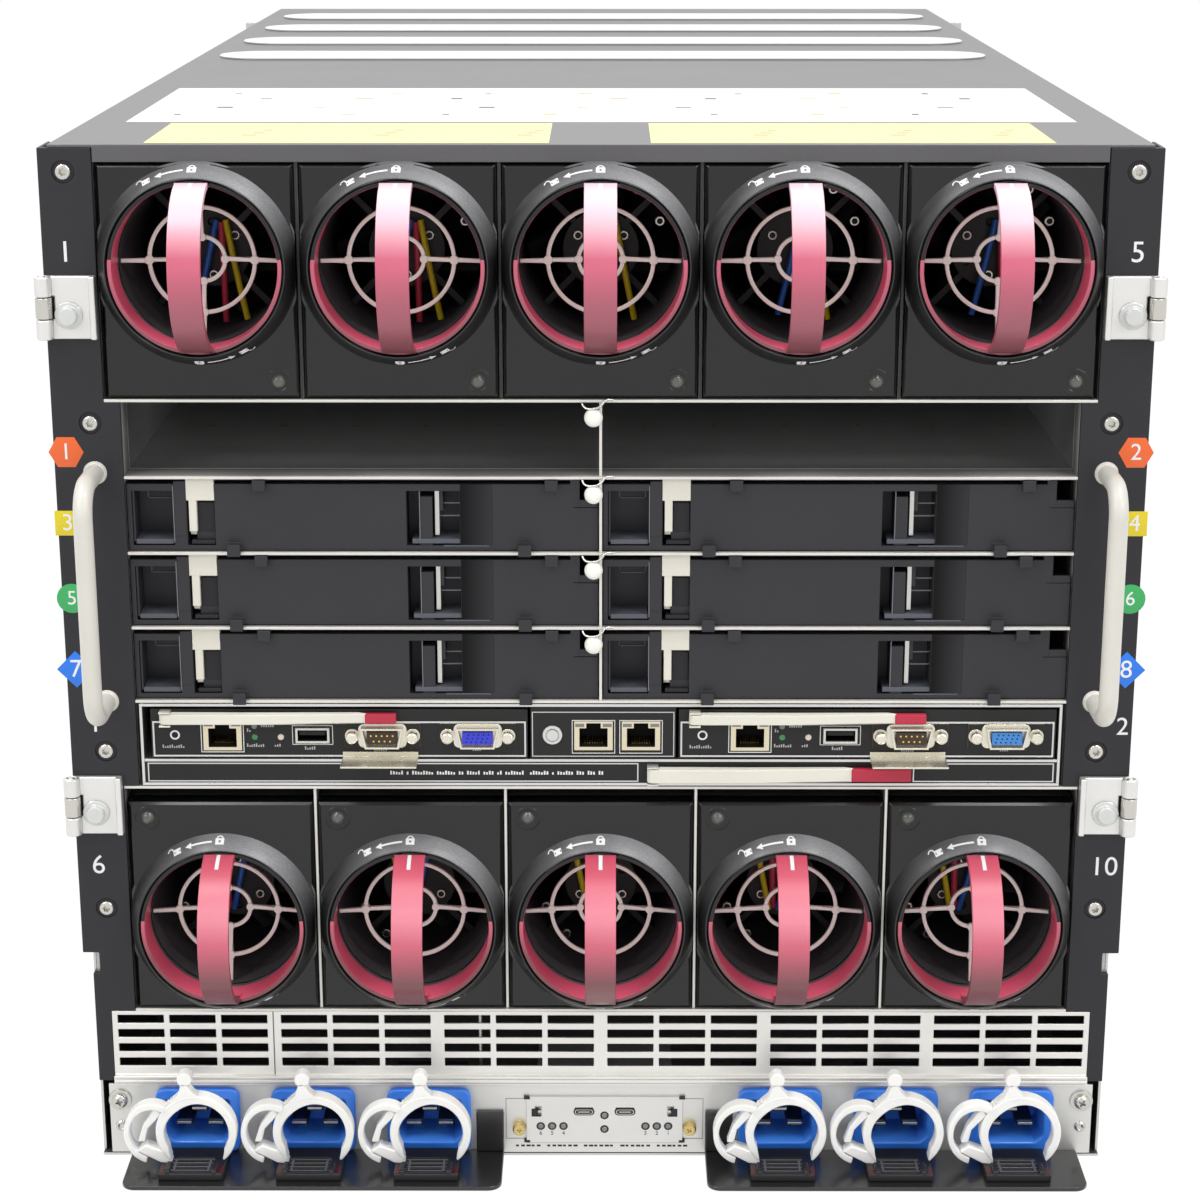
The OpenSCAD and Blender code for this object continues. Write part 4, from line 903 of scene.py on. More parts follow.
# A paler grey on every other rib and on two thin bars each side of a slider: painted highlight.
painted_rib_highlight = moulded("slider_rib_painted_highlight", (88, 88, 90), 0.3, coat=0.3)
ribs = bmesh.new()
clamp_middles = []
for low, high, _ in found:
    if retainer_finish(low, high) == 1:
        x, top, y0 = (low.x + high.x) / 2 / mm, high.z / mm - 1.6, low.y / mm
        clamp_middles.append(x)
        for k in range(9):
            y = y0 + 0.8 + k * 1.7
            slab(ribs, (x - 9.0, y, top - 0.2), (x + 9.0, y + 0.6, top + 0.5), 2 if k % 2 else 0)
        for side in (-1, 1):
            for away, half, y1, y2, z1, z2, pick in ((12.0, 1.8, 0.4, 7, 0, 0.25, 1),
                                                     (7.4, 0.5, 2, 12, 0.3, 0.7, 2),
                                                     (10, 1.5, 1, 2.2, 1.3, 1.9, 0)):
                middle = x + side * away
                slab(ribs, (middle - half, y0 + y1, top + z1), (middle + half, y0 + y2, top + z2), pick)
stand(built("slider_ribs", ribs, [slider_black, red_stop, painted_rib_highlight], width=0.12), "enclosure",
      slot="clamp_plastic")


def strip(shape, pairs, y0, y1, pick=0):
    """A band through pairs of points in X and Z, from y0 back to y1."""
    rows = [[shape.verts.new((x * mm, y * mm, z * mm)) for x, y, z in
             ((p[0], y0, p[1]), (q[0], y0, q[1]), (q[0], y1, q[1]), (p[0], y1, p[1]))] for p, q in pairs]
    skin_between(shape, rows, [pick] * len(rows))
    for cap in (rows[0], rows[-1]):
        shape.faces.new(cap).material_index = pick


def on_arc(radius, turn, x=0.0, z=0.0, squash=1.0):
    return x + radius * math.cos(math.radians(turn)), z + squash * radius * math.sin(math.radians(turn))


ring_r = (retainers_top - 13.6) / 2
clamp = bmesh.new()
band = []
for turn in range(228, -52, -4):
    taper = min(1.0, 0.3 + (turn + 48) / 22, 0.3 + (226 - turn) / 22)
    thick = (3.4 + 1.2 * math.exp(-((turn - 130) / 40) ** 2)) * taper
    band.append((on_arc(ring_r - thick, turn), on_arc(ring_r, turn)))
strip(clamp, band, -20, -13)
strip(clamp, [(on_arc(10.0, t, -ring_r - 1.5, -0.5, 1.12), on_arc(12.4, t, -ring_r - 1.5, -0.5, 1.15))
              for t in range(52, 262, 6)], -19.8, -13.2)
strip(clamp, [((-ring_r + 2.6, 8.5), (-ring_r + 0.2, 11.5)), ((-ring_r - 3.6, 1.5), (-ring_r - 5.6, 3.0)),
              ((-ring_r - 5.0, -4.5), (-ring_r - 8.0, -4.5))], -19, -14)
strip(clamp, [((-ring_r - 8.4, -8.6), (-ring_r - 4.6, -5.8)), ((-ring_r + 1.5, -14.0), (-ring_r + 1.2, -8.0)),
              ((-ring_r + 6.6, -14.6), (-ring_r + 4.4, -9.0))], -19.9, -13.1)
tab_root = [((3.0, ring_r - 1.2), (-11.0, ring_r - 3.4)), ((-0.6, ring_r + 0.9), (-7.6, ring_r - 0.4)),
            ((-2.2, ring_r + 3.2), (-6.4, ring_r + 2.8)), ((-2.4, ring_r + 5.0), (-6.0, ring_r + 5.0))]
tab_head = [(on_arc(3.3, 270 + t, -4.2, ring_r + 7.4), on_arc(3.3, 270 - t, -4.2, ring_r + 7.4))
            for t in (40, 60, 90, 120, 150, 172)]
strip(clamp, tab_root + tab_head, -19.6, -13.4)
for k in range(7):
    turn = 122 + k * 5.2
    strip(clamp, [(on_arc(ring_r - 0.4, turn - 2.4), on_arc(ring_r + 0.1, turn - 2.4)),
                  (on_arc(ring_r - 0.4, turn), on_arc(ring_r + 1.1, turn - 0.6)),
                  (on_arc(ring_r - 0.4, turn + 2.4), on_arc(ring_r + 0.1, turn + 2.4))], -18.6, -14.4)
clamp_mesh = built("cord_clamp", clamp, clamp_nylon, width=0.5)
for n, x in enumerate(sorted(clamp_middles)):
    ring = clamp_mesh.copy()
    ring.name = f"cord_clamp_{n + 1}"
    ring.location = ((x + 1.6) * mm, rear_y, (3.1 + ring_r) * mm)
    stand(ring, "enclosure", slot="clamp_plastic")

# ---------------------------------------------------------- the fan modules
# Ten alike, pushed in from the rear: a glossy black moulding with a coned
# collar, a pale dished grille, a motor on a plate and its three leads. The
# upper five are turned over, so that their lamps sit at the foot.
fan_black = moulded("fan_black", (20, 20, 20), 0.24, 0.14, 2600, 0.01, coat=0.2, specular=0.4)
duct_foam = moulded("duct_foam", (66, 66, 68), 0.9, 0.9, 420, 0.25, specular=0.15)
motor_black = moulded("motor_black", (20, 20, 21), 0.55, 0.2)
grille_grey = moulded("grille_grey", (238, 235, 228), 0.36, 0.08, 1400, 0.015)
lens_finish = Finish("lens_smoke")
smoke = lens_finish.noise(300, 2)
lens_smoke = lens_finish.shade(Base_Color=lens_finish.blend(smoke, tone(66, 70, 64), tone(96, 100, 92)),
                               Roughness=smoke * 0.1 + 0.12, Coat_Weight=0.6, Coat_Roughness=0.05)


def fan_axis(n):
    """Where a fan's axis meets the rear plane."""
    low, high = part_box(f"fan_handle_{n}")
    return Vector(((low.x + high.x) / 2, rear_y, (low.z + high.z) / 2))


def fan_solid(low, high):
    size = (high - low) / mm
    if size.x < 8:
        return 3
    if size.y < 9:
        return 2
    if size.x < 70:
        return 4
    return 1 if low.y > rear_y + 5 * mm else 0


housing = pressed("fan_housing", "fan_module_8", [fan_black, duct_foam, grille_grey, lens_smoke, motor_black],
                  fan_solid, width=0.35, origin=fan_axis(8))
tip_r, foot_r, lip_out, mouth_edge = 36.1, 40.5, 8.95, 35.25
for vertex in housing.data.vertices:
    out, reach = -vertex.co.y / mm, math.hypot(vertex.co.x, vertex.co.z) / mm
    if out > 0.3 and mouth_edge + 0.2 < reach < 43:
        vertex.co.x *= (mouth_edge + 0.25) / reach
        vertex.co.z *= (mouth_edge + 0.25) / reach
        vertex.co.y = min(vertex.co.y + 0.25 * mm, 0)
brow = bmesh.new()
fan_half = (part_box("fan_module_8")[1].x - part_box("fan_module_8")[0].x) / 2 / mm


def collar_point(share, turn, lift=0.0):
    """On the collar's coned outside: share 0 at its tip, 1 at its foot."""
    belly = 0.5 * math.sin(share * math.pi) + lift
    reach = tip_r + (foot_r - tip_r) * share + belly * 0.9
    out = -lip_out * (1 - share) - belly * 0.43
    x, z = reach * math.cos(turn), reach * math.sin(turn)
    return Vector((max(-fan_half, min(fan_half, x)), out, z)) * mm


sides, skirt_r = 96, 41.6
turns = [2 * math.pi * k / sides for k in range(sides)]
loops = [[brow.verts.new(Vector((r * math.cos(t), y, r * math.sin(t))) * mm) for t in turns]
         for r, y in ((mouth_edge, -7.0), (mouth_edge + 0.1, -8.6), (mouth_edge + 0.45, -9.02))]
loops += [[brow.verts.new(collar_point(share / 10, t)) for t in turns] for share in range(11)]
loops.append([brow.verts.new(Vector((max(-fan_half, min(fan_half, skirt_r * math.cos(t))), 0.02,
                                     skirt_r * math.sin(t))) * mm) for t in turns])
skin_between(brow, loops)
# Black plastic whose upper part, strongest toward +x, is coloured pale grey and broken by speckle: a painted
# highlight.
collar_painting = Finish("collar_black_and_painted_highlight")
scuff_and_highlight_speckle = collar_painting.noise(2600, 2)
drift = collar_painting.noise(60, 2)
collar_painted_highlight = collar_painting.along("Z", 2, 30) * (collar_painting.along("X", -30, 20) * 0.72 + 0.28)
collar_painted_highlight = (collar_painted_highlight * (0.25 + scuff_and_highlight_speckle * 1.1)) ** 1.5
collar_black_and_painted_highlight = collar_painting.shade(Base_Color=collar_painting.blend(collar_painted_highlight, tone(18, 18, 19), tone(164, 164, 167)),
                          Roughness=scuff_and_highlight_speckle * 0.14 + drift * 0.1 + 0.26, Coat_Weight=0.25, Coat_Roughness=0.2,
                          Specular_IOR_Level=0.7, Normal=collar_painting.bump(scuff_and_highlight_speckle, 0.02 * mm, 0.5))
collar = built("fan_collar", brow, collar_black_and_painted_highlight)
fan_fittings = bmesh.new()
facing = Matrix.Rotation(math.pi / 2, 4, "X")
for quarter in range(4):
    for reach, size, depth in ((21.4, 1.9, 13.1), (9.0, 1.7, 15.7)):
        a = quarter * math.pi / 2
        stud(fan_fittings, (reach * math.cos(a) * mm, depth * mm + 0.75 * mm, reach * math.sin(a) * mm),
             (size, size), 1.5, facing)
for a, away in ((210, 11), (330, 11), (90, 11), (238, 29), (205, 27)):
    x, z = away * math.cos(math.radians(a)), away * math.sin(math.radians(a))
    for radius, depth in ((2.4, 1.0), (1.5, 1.6)):
        for vertex in stud(fan_fittings, (x * mm, (46 - depth / 2) * mm, z * mm), (radius, radius - 0.4),
                           depth, facing, 24):
            for face in vertex.link_faces:
                face.material_index = 1 if radius > 2 else 2
fan_trim = built("fan_trim", fan_fittings, [grille_grey, zinc, motor_black], width=0.2)
seat = turned("lamp_seat", [
    (2.9, 0.9), (3.3, 0.35), (4.2, -0.12), (4.7, -0.22), (5.2, -0.05), (5.3, 0.1)], fan_black, 40)
lens_dome = turned("lamp_dome", [
    (0.3, -1.55), (1.2, -1.35), (2.1, -0.8), (2.7, 0.0), (2.8, 0.8)], lens_smoke, 32)

wire_colours = [moulded("wire_" + n, c, 0.4, 0.08) for n, c in
                (("blue", (52, 112, 206)), ("red", (206, 60, 84)), ("yellow", (232, 214, 40)))]
leads = wire_run("fan_leads", [
    (arc((-2, 44, -12), (2, 40.5, 6), (7, 42, 27)), 0),
    (arc((-4, 44, -11), (-5, 40.5, 10), (-5, 42, 30)), 1),
    (arc((-6, 44, -12), (-10, 40.5, 10), (-14, 42, 29)), 2)], 1.35, wire_colours)


def on_collar(u, v, turn=0):
    """A place on the collar: u along it from its top, v from its foot to its tip."""
    return collar_point(1 - v / 9.2, math.pi / 2 - u / 39.3 + math.radians(turn), 0.06)


def print_patch(shape, outline, turn):
    """Ink with the given outline, in u and v, cut fine enough to follow it."""
    steps = 8
    left = min(u for u, _ in outline)
    right = max(u for u, _ in outline)
    near = {}
    for k in range(steps + 1):
        u = left + (right - left) * k / steps
        crossings = []
        for (u0, v0), (u1, v1) in zip(outline, outline[1:] + outline[:1]):
            if min(u0, u1) <= u <= max(u0, u1) and u0 != u1:
                crossings.append(v0 + (v1 - v0) * (u - u0) / (u1 - u0))
        if crossings:
            near[k] = [shape.verts.new(on_collar(u, v, turn)) for v in (min(crossings), max(crossings))]
    for k in range(steps):
        if k in near and k + 1 in near:
            shape.faces.new(near[k] + near[k + 1][::-1])


def ink_ring(shape, cu, cv, outer, inner, start, stop, turn, steps=10):
    """Part of a printed ring, for a padlock's shackle."""
    rows = []
    for k in range(steps + 1):
        a = math.radians(start + (stop - start) * k / steps)
        rows.append([shape.verts.new(on_collar(cu + r * math.cos(a), cv - r * 1.25 * math.sin(a), turn))
                     for r in (inner, outer)])
    for one, two in zip(rows, rows[1:]):
        shape.faces.new((one[0], one[1], two[1], two[0]))


ink = bmesh.new()
for turn in (0, 180):
    print_patch(ink, [(-1.9, 3.3), (1.9, 3.3), (1.9, 6.6), (-1.9, 6.6)], turn)
    ink_ring(ink, 0, 3.4, 1.45, 0.85, 0, 180, turn)
    print_patch(ink, [(-13, 4.5), (-3.4, 4.5), (-3.4, 5.5), (-13, 5.5)], turn)
    print_patch(ink, [(-15.4, 5.0), (-12.6, 3.3), (-12.6, 6.7)], turn)
    print_patch(ink, [(-21.2, 3.6), (-17.6, 3.6), (-17.6, 6.8), (-21.2, 6.8)], turn)
    ink_ring(ink, -22.4, 3.7, 1.5, 0.9, 0, 180, turn)
collar_ink = built("collar_ink", ink, white_print)
foam_dark, foam_pale = tone(34, 34, 35), tone(132, 132, 132)


def rose_with_painted_light(name, foot, bands):
    """Satin pink plastic with light painted into its colour up the hoop, painted shade low and painted highlight
    further up: foot is the first colour, and each band is (start, stop, colour); foam lines it further in."""
    finish = Finish(name)
    satin = finish.noise(2200, 2)
    waves = finish.noise(40, 2)
    cloud = waves * 0.5 + satin * 0.5
    pink = finish.blend(cloud, *foot)
    for start, stop, shade in bands:
        pink = finish.blend(finish.along("Z", start, stop), pink, finish.blend(cloud, *shade))
    pink = finish.blend(finish.along("Y", 5.5, 6.2), pink, finish.blend(satin, foam_dark, foam_pale))
    return finish.shade(Base_Color=pink, Roughness=satin * 0.1 + waves * 0.06 + 0.3,
                        Specular_IOR_Level=0.7, Coat_Weight=0.2, Coat_Roughness=0.25,
                        Normal=finish.bump(satin, 0.012 * mm, 0.5))


# Upper fans: painted shade on the hoop's lower part and a near-white painted highlight over its top.
rose = rose_with_painted_light("hoop_rose", (tone(128, 66, 76), tone(146, 80, 90)), [
    (-28, 4, (tone(196, 86, 112), tone(214, 106, 130))),
    (8, 30, (tone(250, 200, 214), tone(255, 226, 234)))])
# Lower fans: painted shade at the foot, a paler painted highlight band across the middle and a deeper rose at the
# top.
rose_low = rose_with_painted_light("hoop_rose_low", (tone(112, 56, 62), tone(130, 70, 76)), [
    (-14, 3, (tone(196, 84, 106), tone(214, 102, 124))),
    (4, 14, (tone(218, 122, 140), tone(234, 140, 156))),
    (18, 29, (tone(200, 76, 98), tone(214, 90, 112)))])
burgundy = Finish("ring_burgundy")
grain = burgundy.noise(2200, 2)
edge = burgundy.blend(burgundy.along("Y", 5.4, 6.2),
                      burgundy.blend(grain, tone(212, 80, 108), tone(230, 100, 128)),
                      burgundy.blend(grain, foam_dark, foam_pale))
ring_burgundy = burgundy.shade(Base_Color=edge, Roughness=grain * 0.12 + 0.32,
                               Normal=burgundy.bump(grain, 0.012 * mm, 0.5))
hoop = pressed("fan_hoop", "fan_handle_8", [rose, ring_burgundy, fan_black], width=0.35, origin=fan_axis(8))
tint(hoop, 1, lambda at, n: math.hypot(at.x, at.z) > 30.5 and at.y > -8.6 and abs(n.y) < 0.6)
tint(hoop, 2, lambda at, n: n.y < -0.8 and at.y < -7.5 and math.hypot(at.x, at.z) > 31.8 and at.z > 4
     or math.hypot(at.x, at.z) > 34 and abs(n.y) < 0.3 and n.x * at.x + n.z * at.z > 0)
hoop_low = hoop.copy()
hoop_low.data = hoop.data.copy()
hoop_low.data.materials[0] = rose_low
strap_reach = 34.3
bar = bmesh.new()
rows = []
for k in range(7):
    a = math.radians(64 + 18 * k / 6)
    rows.append([bar.verts.new(Vector((x, -3 - strap_reach * math.cos(a), strap_reach * math.sin(a))) * mm)
                 for x in (-0.8, 0.8)])
for one, two in zip(rows, rows[1:]):
    bar.faces.new((one[0], one[1], two[1], two[0]))
index_bar = built("hoop_index", bar, white_print)
rotor_black = moulded("rotor_black", (34, 34, 36), 0.5, 0.2)
lamp_across, lamp_up = 31, 47.2
for n in range(1, 11):
    turn = 180 if n <= 5 else 0
    spot = fan_axis(n)
    for part, mesh_of, body in (("housing", housing, f"fan_{n}"), ("trim", fan_trim, f"fan_{n}"),
                                ("leads", leads, f"fan_{n}"), ("ink", collar_ink, f"fan_{n}"),
                                ("collar", collar, f"fan_{n}"),
                                ("hoop", hoop_low if n > 5 else hoop, f"handle_{n}"),
                                ("index", index_bar, f"handle_{n}")):
        piece = mesh_of.copy()
        piece.name = f"fan_{n}_{part}"
        spin = turn if part in ("housing", "trim", "leads") else 0
        piece.matrix_world = Matrix.Translation(spot) @ Matrix.Rotation(math.radians(spin), 4, "Y")
        stands = {"housing": [f"fan_module_{n}"], "hoop": [f"fan_handle_{n}"]}.get(part, [])
        stand(piece, body, *stands, slot="hoop_plastic" if part == "hoop" else "fan_plastic")
    flip = -1 if turn else 1
    lamp_spot = spot + Vector((-lamp_across * flip, 0, lamp_up * flip)) * mm
    place(f"fan_{n}_lamp_seat", seat, lamp_spot, f"fan_{n}", slot="fan_plastic")
    place(f"fan_{n}_lamp", lens_dome, lamp_spot, f"fan_{n}", slot="fan_plastic")
    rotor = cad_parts[f"fan_rotor_{n}"]
    for material_slot in rotor.material_slots:
        material_slot.material = rotor_black

# ----------------------------------------------------- the interconnect blanks
# Six charcoal mouldings that fill empty bays. Each has a finger pocket with
# an ivory catch at its left, a grip pocket, and snap tongues over the sheets.
blank_char = moulded("blank_charcoal", (48, 48, 52), 0.5, 0.14, 1900, 0.03, specular=0.4)
ivory = moulded("ivory_plastic", (226, 222, 208), 0.42, 0.1, 1500, 0.02)
blank_dark = moulded("blank_dark", (36, 36, 39), 0.5, 0.14, 1900, 0.03, specular=0.35)


def blank_solid(low, high):
    return 1 if high.x - low.x < 60 * mm else 0


def blank_corner(n):
    """A bay's upper left corner, from which a blank's sizes run."""
    low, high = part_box(f"bay_blank_{n}")
    return Vector((low.x, rear_y + 2 * mm, high.z + 0.3 * mm))


blank_body = pressed("blank_body", "bay_blank_1", [blank_char, ivory], blank_solid, width=0.3,
                     origin=blank_corner(1))


def tilt_slab(shape, x0, x1, y0, y1, z0, z1, pick=0, lean=0.0):
    """A block whose rear edge leans down by some millimetres."""
    first = len(shape.verts)
    slab(shape, (x0, y0, z0), (x1, y1, z1), pick)
    shape.verts.ensure_lookup_table()
    for vertex in shape.verts[first:]:
        if vertex.co.y < (y0 + y1) / 2 * mm:
            vertex.co.z -= lean * mm


# A paler grey for the pocket and top edges, a painted highlight, and for the grip pocket's two wires.
edge_highlight_and_wire_grey = moulded("blank_edge_highlight_and_wire", (122, 124, 132), 0.36, 0.1, 1900, 0.01)
# A paler grey for the sloping ledges: painted highlight.
ledge_painted_highlight = moulded("blank_ledge_painted_highlight", (84, 86, 94), 0.4, 0.2, 1900, 0.02)
spring_strip = galvanised("blank_spring", (208, 208, 202), 0.1, 0.34)
# Black fading to the face's grey right of the grip pocket, on a flat slab: painted shade of the scooped end.
scoop = Finish("blank_scoop_painted_shade")
scoop_grain = scoop.noise(1900, 2)
scoop_painted_shade = scoop.blend(scoop.along("X", 138.5, 150), tone(4, 4, 4), tone(52, 52, 56))
blank_scoop_painted_shade = scoop.shade(Base_Color=scoop_painted_shade, Specular_IOR_Level=0.2,
                          Roughness=scoop_grain * 0.1 + 0.45, Normal=scoop.bump(scoop_grain, 0.03 * mm, 0.5))
trim = bmesh.new()
back = 12.9
blank_low, blank_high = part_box("bay_blank_1")
blank_end, foot = (blank_high.x - blank_low.x) / mm, -(blank_high.z - blank_low.z) / mm + 0.6
for x0, x1, y0, y1, z0, z1, pick, lean in (
        # finger pocket: recess edged with pale lines of painted highlight, ivory catch reaching the top edge,
        # ledge with a painted highlight
        (6.6, 7.1, back - 0.35, back, -11, -2.6, 4, 0),
        (17.4, 17.9, back - 0.35, back, -11, -2.6, 4, 0),
        (7.1, 17.4, back - 0.35, back, -11.4, -10.9, 4, 0),
        (2.2, 3.1, 0.5, back, -27, -3.4, 3, 0),
        (3.1, 18.6, 0.6, back, -27.6, -25.6, 5, 0.4),
        (26.0, 35.8, 0.6, back, -27.6, -26.0, 1, 0.4),
        (24.4, 36.0, -0.08, 5.4, -9.4, -0.35, 2, 0),
        (19.4, 24.2, -0.3, 2, -24.4, -1.2, 0, 0),
        (25.4, 28.6, -0.05, 3, -22.5, -9.3, 2, 0),
        (25.4, 28.6, 3.0, 9, -24.5, -3.0, 2, 0),
        (28.9, 35.8, 2.2, 8, -23, -10.6, 1, 0),
        (18.9, 19.3, -0.4, 1, -27.2, -3.2, 4, 0),
        # grip pocket: block, sprung strip with two wires, a scooped end painted as a dark gradient of shade, and
        # a ledge with a painted highlight
        (117.2, 138.5, 0.6, back, -27.4, -25.4, 5, 0.4),
        (120.2, 120.6, 0.6, 1.4, -26.0, -5.4, 4, 0),
        (126.4, 128.4, 3.6, back, -25.0, -4.0, 6, 0),
        (128.4, 130.0, 3.6, back, -14.6, -5.6, 3, 0),
        (128.4, 138.6, 6.0, 6.8, -12.1, -11.5, 4, 0),
        (128.4, 138.6, 6.0, 6.8, -17.5, -16.9, 4, 0),
        (137.2, 150.4, -0.05, 0.1, foot + 3.2, -2.4, 7, 0),
        (130, 149, -0.05, 0.1, foot + 2.4, foot + 3.2, 5, 0),
        # a painted highlight along the top edge, and what narrows the notch round the knob
        (36.2, blank_end - 10.4, -0.06, 0.4, -0.7, -0.25, 4, 0),
        (blank_end - 11.6, blank_end - 7.6, 0.02, 2.0, -12.2, -0.4, 0, 0),
        (blank_end - 11.6, blank_end - 0.1, 0.02, 2.0, -12.2, -9.2, 0, 0),
        (blank_end - 11.6, blank_end - 7.8, -0.04, 1.0, -12.2, -6.8, 0, 0)):
    tilt_slab(trim, x0, x1, y0, y1, z0, z1, pick, lean)
blank_trim = built("blank_trim", trim, [blank_char, blank_dark, ivory, blank_char, edge_highlight_and_wire_grey, ledge_painted_highlight,
                                        spring_strip, blank_scoop_painted_shade], width=0.2)
for n in range(1, 7):
    spot = blank_corner(n)
    for part, mesh_of in (("body", blank_body), ("trim", blank_trim)):
        piece = mesh_of.copy()
        piece.name = f"blank_{n}_{part}"
        piece.location = spot
        stand(piece, f"blank_{n}", *([f"bay_blank_{n}"] if part == "body" else []), slot="blank_plastic")

# --------------------------------------------------- the management sleeve row
# A bright sheet sleeve carries two management modules with printed black
# faces, a middle block with two link sockets, and a long ejector lever.
face_black = moulded("module_face", (36, 35, 35), 0.5, 0.14, 2400, 0.012, specular=0.35)
gold_shell = galvanised("socket_shell", (222, 212, 184), 0.05, 0.3)
nickel = galvanised("connector_nickel", (226, 221, 206), 0.04, 0.28, dent=0.002)
insert_brown = moulded("insert_brown", (58, 44, 34), 0.45)
insert_blue = moulded("insert_blue", (52, 62, 216), 0.35)
insert_sky = moulded("insert_sky", (66, 140, 220), 0.35)
silver = galvanised("sleeve_silver", (214, 214, 212), 0.06, 0.3, dent=0.002)


def module_solid(low, high):
    """Face block, connector metal, or one of the two inserts."""
    size = (high - low) / mm
    middle_x = (low.x + high.x) / 2
    if size.x > 100:
        return 0
    if size.x < 12 and size.z < 2.4:
        return 5
    if 12 < size.x < 13.4 and 5 < size.z < 6:
        return 2 if middle_x < module_x + 117 * mm else 3
    if 15 < size.x < 17 and size.z > 12:
        return 1
    return 4


# Near black for the insides of sockets, screw bores, pin holes and the reset pit: painted shade.
hole_painted_shade = moulded("hole_painted_shade", (10, 10, 11), 0.7)
lever_ivory = moulded("lever_ivory", (230, 227, 214), 0.38, 0.06, 1300, 0.02)
lever_red = moulded("lever_red", (186, 42, 66), 0.36, 0.1, 1300, 0.02)
pins_gold = galvanised("pins_gold", (226, 190, 96), 0.03, 0.2)
led_green = moulded("led_green", (42, 130, 70), 0.3, 0.1, coat=0.5)
led_grey = moulded("led_grey", (120, 122, 120), 0.3, 0.1, coat=0.5)
button_pale = moulded("button_pale", (226, 214, 196), 0.4, 0.08)
led = turned("led_dot", [(0.3, -0.35), (0.9, -0.25), (1.25, 0.0), (1.3, 0.1)], [led_green], 24)
led_off = turned("led_dot_off", [(0.3, -0.3), (0.9, -0.2), (1.15, 0.0), (1.2, 0.1)], [led_grey], 24)
pale_print = moulded("pale_print", (178, 178, 178), 0.5, 0.1, 2400, 0.01)
pit = turned("screw_pit", [(0.2, -1.9), (1.2, -1.92), (1.28, -1.85)], [hole_painted_shade], 20)
pip = turned("pip_button", [(0.3, -0.5), (1.0, -0.45), (1.3, -0.2), (1.35, 0.1)], [button_pale], 24)
ring_ink = turned("ring_ink", [(1.55, -0.06), (2.1, -0.06), (2.1, 0.05)], [white_print], 32)
reset_pit = turned("reset_pit", [(0.2, -0.08), (1.35, -0.09), (1.4, -0.02)], [hole_painted_shade], 24)
jack_screw = turned("jack_screw", [
    (0.3, -1.8), (1.3, -1.8), (1.35, -5.1), (1.8, -5.3), (lobed(2.25, 6, 0.14), -5.0),
    (lobed(2.4, 6, 0.16), -3.0), (lobed(2.4, 6, 0.16), -0.9)], [nickel], 48)
socket_x, serial_x, video_x, ear, lever_grip = 30, 97.5, 137.6, 12.7, 84


def jack_marks(shape, x, base, contacts, lamps):
    """A network socket's eight contacts and its two lamps."""
    for k in range(8):
        at = x + (k - 3.5) * 1.05
        slab(shape, (at - 0.22, rear + 4.0, base), (at + 0.22, rear + 13, base + 0.4), contacts)
    for side in (-1, 1):
        at = x + side * 5.8
        slab(shape, (at - 1.9, rear - 0.38, base + 8.8), (at + 1.9, rear - 0.2, base + 10.3), lamps)


def flange(shape, x, z, rings):
    """A pressed metal rim round a connector, set on the module's face."""
    nested(shape, rings, [0] * len(rings))
    for vertex in shape.verts:
        if not vertex.tag:
            vertex.co += Vector((x, rear - 0.86, z)) * mm
            vertex.tag = True


